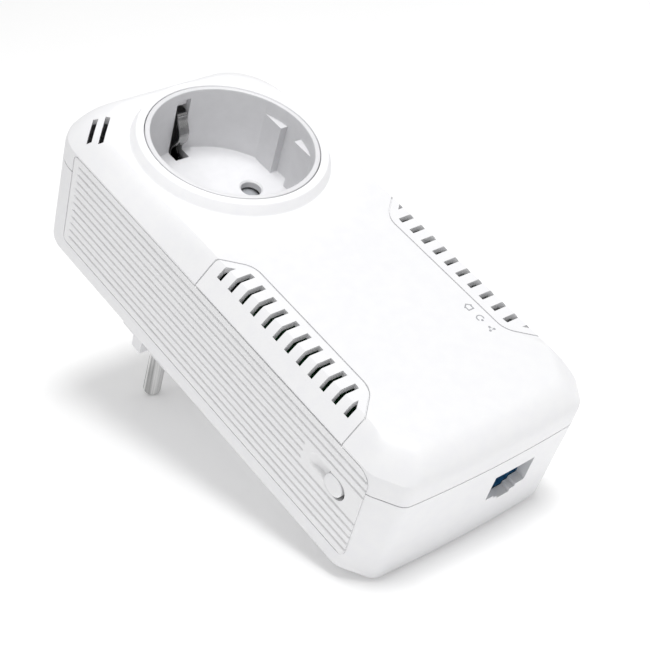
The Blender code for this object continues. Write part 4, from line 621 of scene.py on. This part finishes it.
edge = np.linspace(0, np.pi / 2, 6)
levels = [(-plug["pedestalHeight"] - 0.3, 0.0)] + [
    (plug["face"] + plug["edge"] * (1 - math.sin(e)), plug["edge"] * (1 - math.cos(e))) for e in edge]
rings = np.array([np.column_stack([plugOutline(s), np.full(len(plugOutline(s)), z)]) for z, s in levels])
plugBody = ringSolid("plugBody", rings[::-1])
for x in pinPlaces:
    carve(plugBody, "DIFFERENCE", rodBetween("tool", (x, 0, -24), (x, 0, -4), pinHole))
carve(plugBody, "DIFFERENCE", rodBetween("tool", (0, earthY, -21.3), (0, earthY, -4), plug["earthSleeve"]))
hole, wide = plug["earthHole"], plug["earthMouth"]
mouth = [(axisRadius, -30), (wide, -30), (wide, -22.6), (hole, -22.0), (hole, -5.5), (axisRadius, -5.5)]
carve(plugBody, "DIFFERENCE", turned("tool", rounded(mouth, 0.1, 2), 64, (0, earthY)))
half, foot = plug["stripWidth"] / 2 + plug["stripClear"], plug["stripFoot"]
top = plug["face"] + plug["stripSink"]
carve(plugBody, "DIFFERENCE", block("tool", (-half, foot, -24), (half, 19.5, top)),
      block("tool", (-half, -19.5, -24), (half, -foot, top)))
settle(plugBody, "housing", absWhite, ["plug_base"], 35)

tip = plug["face"] - plug["pinLength"]
tipRound, tipHeight = plug["pinTip"]
a = np.linspace(0, np.pi / 2, 12)[:-1]
dome = np.column_stack([plug["pin"] - tipRound + tipRound * np.cos(a), tip + tipHeight * (1 - np.sin(a))])
bevel, high = plug["pinBevel"], plug["pinTop"]
pinHead = [(axisRadius, high), (plug["pin"] - bevel, high), (plug["pin"], high - bevel)]
pinProfile = np.concatenate([pinHead, dome, [(0.6, tip), (axisRadius, tip)]])
# each pin takes the nickel whose streaks are partly drawing lines and partly painted reflection
for x, pinName in zip(pinPlaces, ("live_pin", "neutral_pin")):
    pin = turned(pinName.replace("_pin", "PlugPin"), pinProfile, 72, (x, 0))
    settle(pin, "housing", nickel, [pinName], 50)
print("plug made")


socket = {
    "outer": 21.03, "floorThick": 2.0, "guideFace": 17.5, "guideGroove": 5.5, "guideTop": 37.0,
    "pinHole": 2.6, "pinMouth": 3.0, "pinChamfer": 0.4, "slotWidth": 4.0, "slotInner": 16.3,
    "slotOuter": 23.5, "slotTop": 38.6, "slotStart": 1.2, "flange": 23.4, "flangeTop": 35.9,
    "flangeThick": 1.5, "edge": 0.4,
}
clip = {
    "y": 19.85, "foot": 19.9, "width": 2.9, "thick": 0.5, "bow": 2.35, "lean": 0.35, "top": 34.75,
    "rise": 4, "straight": 1.5, "bowPower": 1.3, "lip": 0.45,
}

inner, outer, flange = ring["radius"], socket["outer"], socket["flange"]
top, bottom, under = ring["top"], ring["floor"], ring["floor"] - socket["floorThick"]
high, low = socket["flangeTop"], socket["flangeTop"] - socket["flangeThick"]
cupProfile = [(axisRadius, bottom), (inner, bottom), (inner, top), (outer, top), (outer, high),
              (flange, high), (flange, low), (outer, low), (outer, under), (axisRadius, under)]
cup = turned("socketCup", rounded(cupProfile, socket["edge"]), 192)
wall = (inner + outer) / 2
a = np.linspace(math.asin(socket["guideGroove"] / 2 / wall), math.acos(socket["guideFace"] / wall), 12)
arc = np.stack([wall * np.cos(a), wall * np.sin(a)], -1)
guide = np.concatenate([[(socket["guideFace"], socket["guideGroove"] / 2)], arc])
for sx in (-1, 1):
    for sy in (-1, 1):
        carve(cup, "UNION", prism("tool", guide * (sx, sy), bottom - 0.5, socket["guideTop"]))
wide, narrow = socket["pinMouth"], socket["pinHole"]
for x in pinPlaces:
    hole = [(axisRadius, 24.5), (wide, 24.5), (wide, bottom), (narrow, bottom - socket["pinChamfer"]),
            (narrow, 18), (axisRadius, 18)]
    carve(cup, "DIFFERENCE", turned("tool", hole, 64, (x, 0)))
half = socket["slotWidth"] / 2
for end in (-1, 1):
    # each clip's slot, in the floor and then up the wall
    low, high = sorted((end * socket["slotInner"], end * socket["slotOuter"]))
    carve(cup, "DIFFERENCE", block("tool", (-half, low, 18), (half, high, bottom + 0.5)))
    low, high = sorted((end * (inner - socket["slotStart"]), end * socket["slotOuter"]))
    carve(cup, "DIFFERENCE", block("tool", (-half, low, bottom), (half, high, socket["slotTop"])))
# the cup's darker grey is painted shade for the socket recess
settle(cup, "housing", absCupPaintedShade, ["socket_cup"])
print("socket cup made")


def bentStrip(name, path, width, thick):
    # section(t) = path(t) +- normal(t) * thick / 2, carried from -width/2 to +width/2, long edges rounded
    p = np.asarray(path, float)
    tangent = np.gradient(p, axis=0)
    tangent /= np.linalg.norm(tangent, axis=1, keepdims=True)
    normal = np.stack([-tangent[:, 1], tangent[:, 0]], -1)
    bevel = thick * 0.3
    side, flat = width / 2, thick / 2
    loop = [(-side, -flat + bevel), (-side + bevel, -flat), (side - bevel, -flat), (side, -flat + bevel),
            (side, flat - bevel), (side - bevel, flat), (-side + bevel, flat), (-side, flat - bevel)]
    u, w = np.array(loop).T
    y = p[:, 0:1] + normal[:, 0:1] * w
    z = p[:, 1:2] + normal[:, 1:2] * w
    x = np.broadcast_to(u, y.shape)
    return ringSolid(name, np.stack([x, y, z], -1))


# a straight foot, a bow into the socket and a lip that turns outwards at the top
rise = np.linspace(0, 1, 28)
low, high = clip["foot"] + clip["rise"], clip["top"] - 2 * clip["thick"]
bowY = clip["y"] - clip["lean"] * rise - clip["bow"] * np.sin(np.pi * rise).clip(0) ** clip["bowPower"]
bowZ = low + (high - low) * rise
top = clip["y"] - clip["lean"]
t = np.linspace(0.15, 1, 7)
lipZ = high + (clip["top"] - clip["thick"] / 2 - high) * (1 - (1 - t) ** 2)
lip = np.column_stack([top + clip["lip"] * t**2, lipZ])
footPath = [(clip["y"], clip["foot"]), (clip["y"], low - clip["straight"])]
path = np.concatenate([footPath, np.column_stack([bowY, bowZ]), lip])
for end, body, cadName in ((1, "upper_clip", "earth_clip_upper"), (-1, "lower_clip", "earth_clip_lower")):
    pieceName = cadName.replace("_c", "C").replace("_", "")
    piece = bentStrip(pieceName, path * (end, 1), clip["width"], clip["thick"])
    settle(piece, body, nickelStrip, [cadName], 40)
print("earth clips made")


face, back = form["halfWidth"], form["halfWidth"] - panel["thick"] - panel["behind"]
# the cap's edge starts just under the panel's face and turns inwards up to its top
start, climb = face - button["sunk"], button["proud"] + button["sunk"]
crown = [(back, 1.0), (start, 1.0)]
crown += [(start + climb * math.sin(t), 1 - button["crownInset"] * (1 - math.cos(t)))
          for t in np.linspace(0.1, np.pi / 2, 9)]
u, v = stadium(button["endGap"] / 2, 0, button["length"] - button["endGap"], button["height"]).T
rings = np.array([np.column_stack([np.full(len(u), -x), button["y"] + u * s, button["z"] + v * s])
                  for x, s in crown])
cap = ringSolid("pairButtonCap", rings)
start, end = (-back - 0.5, button["y"], button["z"]), (button["stemEnd"], button["y"], button["z"])
carve(cap, "UNION", rodBetween("tool", start, end, button["stem"], 32))
settle(cap, "button", absWhite, ["pair_button"], 35)
print("pair button made")


# three plain pad-printed marks over the lights: a house, an arch over a dot, and three joined dots
marks = {
    "x": 17.1, "y": (-67.55, -71.5, -75.3), "stroke": 0.3, "link": 0.12, "dot": 0.31, "ink": 0.02,
    "house": (((-1.1, 0.1), (0.06, 1.0)), ((-0.06, 1.0), (1.1, 0.1)), ((0.75, 0.3), (0.75, -0.9)),
              ((-0.85, -0.9), (0.9, -0.9)), ((-0.75, -0.8), (-0.75, 0.3))),
    "arch": (0.85, -35, 215), "archDot": (0, -0.75), "joined": ((0.0, 0.68), (-0.62, -0.3), (0.62, -0.3)),
}


def strokeOutline(points, width):
    p = np.asarray(points, float)
    along = np.gradient(p, axis=0)
    along /= np.linalg.norm(along, axis=1, keepdims=True)
    across = np.stack([-along[:, 1], along[:, 0]], -1) * width / 2
    return np.concatenate([p + across, (p - across)[::-1]])


def dotOutline(u, v):
    a = np.linspace(0, 2 * np.pi, 24, endpoint=False)
    return np.stack([u + marks["dot"] * np.cos(a), v + marks["dot"] * np.sin(a)], -1)


def printMark(name, y, outlines):
    low, high = form["front"] - 0.1, form["front"] + marks["ink"]
    shapes = [prism(name, np.asarray(o) + (marks["x"], y), low, high) for o in outlines]
    return settle(carve(shapes[0], "UNION", *shapes[1:]), "housing", iconInk)


printMark("houseMark", marks["y"][0], [strokeOutline(line, marks["stroke"]) for line in marks["house"]])
radius, start, end = marks["arch"]
a = np.linspace(math.radians(start), math.radians(end), 20)
arch = strokeOutline(np.column_stack([np.cos(a), np.sin(a)]) * radius, marks["stroke"])
printMark("archMark", marks["y"][1], [arch, dotOutline(*marks["archDot"])])
dots = marks["joined"]
links = [strokeOutline([dots[i], dots[(i + 1) % 3]], marks["link"]) for i in range(3)]
printMark("dotsMark", marks["y"][2], [dotOutline(*place) for place in dots] + links)
print("printed marks made")


# the adapter lies as it does on a table, on the tips of its pins and the back edge of its LAN end;
# the floor's size and the lamps' places in metres, rests and gap in millimetres, powers in watts
studio = {"size": 3.0, "sky": 0.585, "glow": 0.1, "restY": -98.5, "restZ": 0.4, "pinGap": 0.6}
socketSpot = {"power": 11.5, "place": (-0.21, -0.115, 0.62), "aim": (0, 0, 0.039), "cone": 3.2,
              "blend": 0.3, "softSize": 0.02}
keySoftbox = {"power": 7.0, "place": (-0.04, 0.12, 1.05), "aim": (0, -0.03, 0), "size": 0.5}

floorMesh = bpy.data.meshes.new("studioFloor")
s, pinTip = studio["size"], plug["face"] - plug["pinLength"] - studio["pinGap"]
lean = math.atan2(studio["restZ"] - pinTip, -studio["restY"])
floorMesh.from_pydata([(-s, -s, 0), (s, -s, 0), (s, s, 0), (-s, s, 0)], [], [(0, 1, 2, 3)])
floorMesh.transform(Matrix.Translation((0, 0, pinTip * mm)) @ Matrix.Rotation(-lean, 4, "X"))
floor = bpy.data.objects.new("studioFloor", floorMesh)
bpy.context.scene.collection.objects.link(floor)
lightTable = patterned("acrylic light table white matt", "#fcfcfc", "#fafafa", 60, (0.85, 0.95), 0.002)
tableShader = lightTable.node_tree.nodes["Principled BSDF"]
tableShader.inputs["Emission Color"].default_value = (1, 1, 1, 1)
tableShader.inputs["Emission Strength"].default_value = studio["glow"]
floorMesh.materials.append(lightTable)


def hangLamp(name, lamp, place, aim):
    # puts a lamp in its place, looking at a point
    holder = bpy.data.objects.new(name, lamp)
    bpy.context.scene.collection.objects.link(holder)
    holder.location = place
    holder.rotation_euler = (Vector(aim) - Vector(place)).to_track_quat("-Z", "Y").to_euler()


lamp = bpy.data.lights.new("socketSpot", "SPOT")
lamp.energy, lamp.spot_size = socketSpot["power"], math.radians(socketSpot["cone"])
lamp.spot_blend, lamp.shadow_soft_size = socketSpot["blend"], socketSpot["softSize"]
hangLamp("socketSpot", lamp, socketSpot["place"], socketSpot["aim"])
lamp = bpy.data.lights.new("keySoftbox", "AREA")
lamp.shape, lamp.size, lamp.energy = "DISK", keySoftbox["size"], keySoftbox["power"]
hangLamp("keySoftbox", lamp, keySoftbox["place"], keySoftbox["aim"])

world = bpy.data.worlds.new("white studio")
world.use_nodes = True
world.node_tree.nodes["Background"].inputs["Color"].default_value = (1, 1, 1, 1)
world.node_tree.nodes["Background"].inputs["Strength"].default_value = studio["sky"]
bpy.context.scene.world = world
bpy.context.scene.view_settings.view_transform = "Standard"


camera = {"place": (-0.21078, -0.21895, 0.26940), "aim": (0.00154, -0.04209, 0.01634), "roll": 16.854,
          "lens": 88.443, "sensor": 36.0, "clip": (0.01, 50.0)}

cameraData = bpy.data.cameras.new("photoCamera")
cameraData.lens, cameraData.sensor_width = camera["lens"], camera["sensor"]
cameraData.clip_start, cameraData.clip_end = camera["clip"]
cameraObject = bpy.data.objects.new("photoCamera", cameraData)
bpy.context.scene.collection.objects.link(cameraObject)
direction = Vector(camera["aim"]) - Vector(camera["place"])
roll = Matrix.Rotation(math.radians(camera["roll"]), 3, "Z")
turn = direction.to_track_quat("-Z", "Y").to_matrix() @ roll
cameraObject.matrix_world = Matrix.Translation(camera["place"]) @ turn.to_4x4()
bpy.context.scene.camera = cameraObject
print("camera and lights placed")
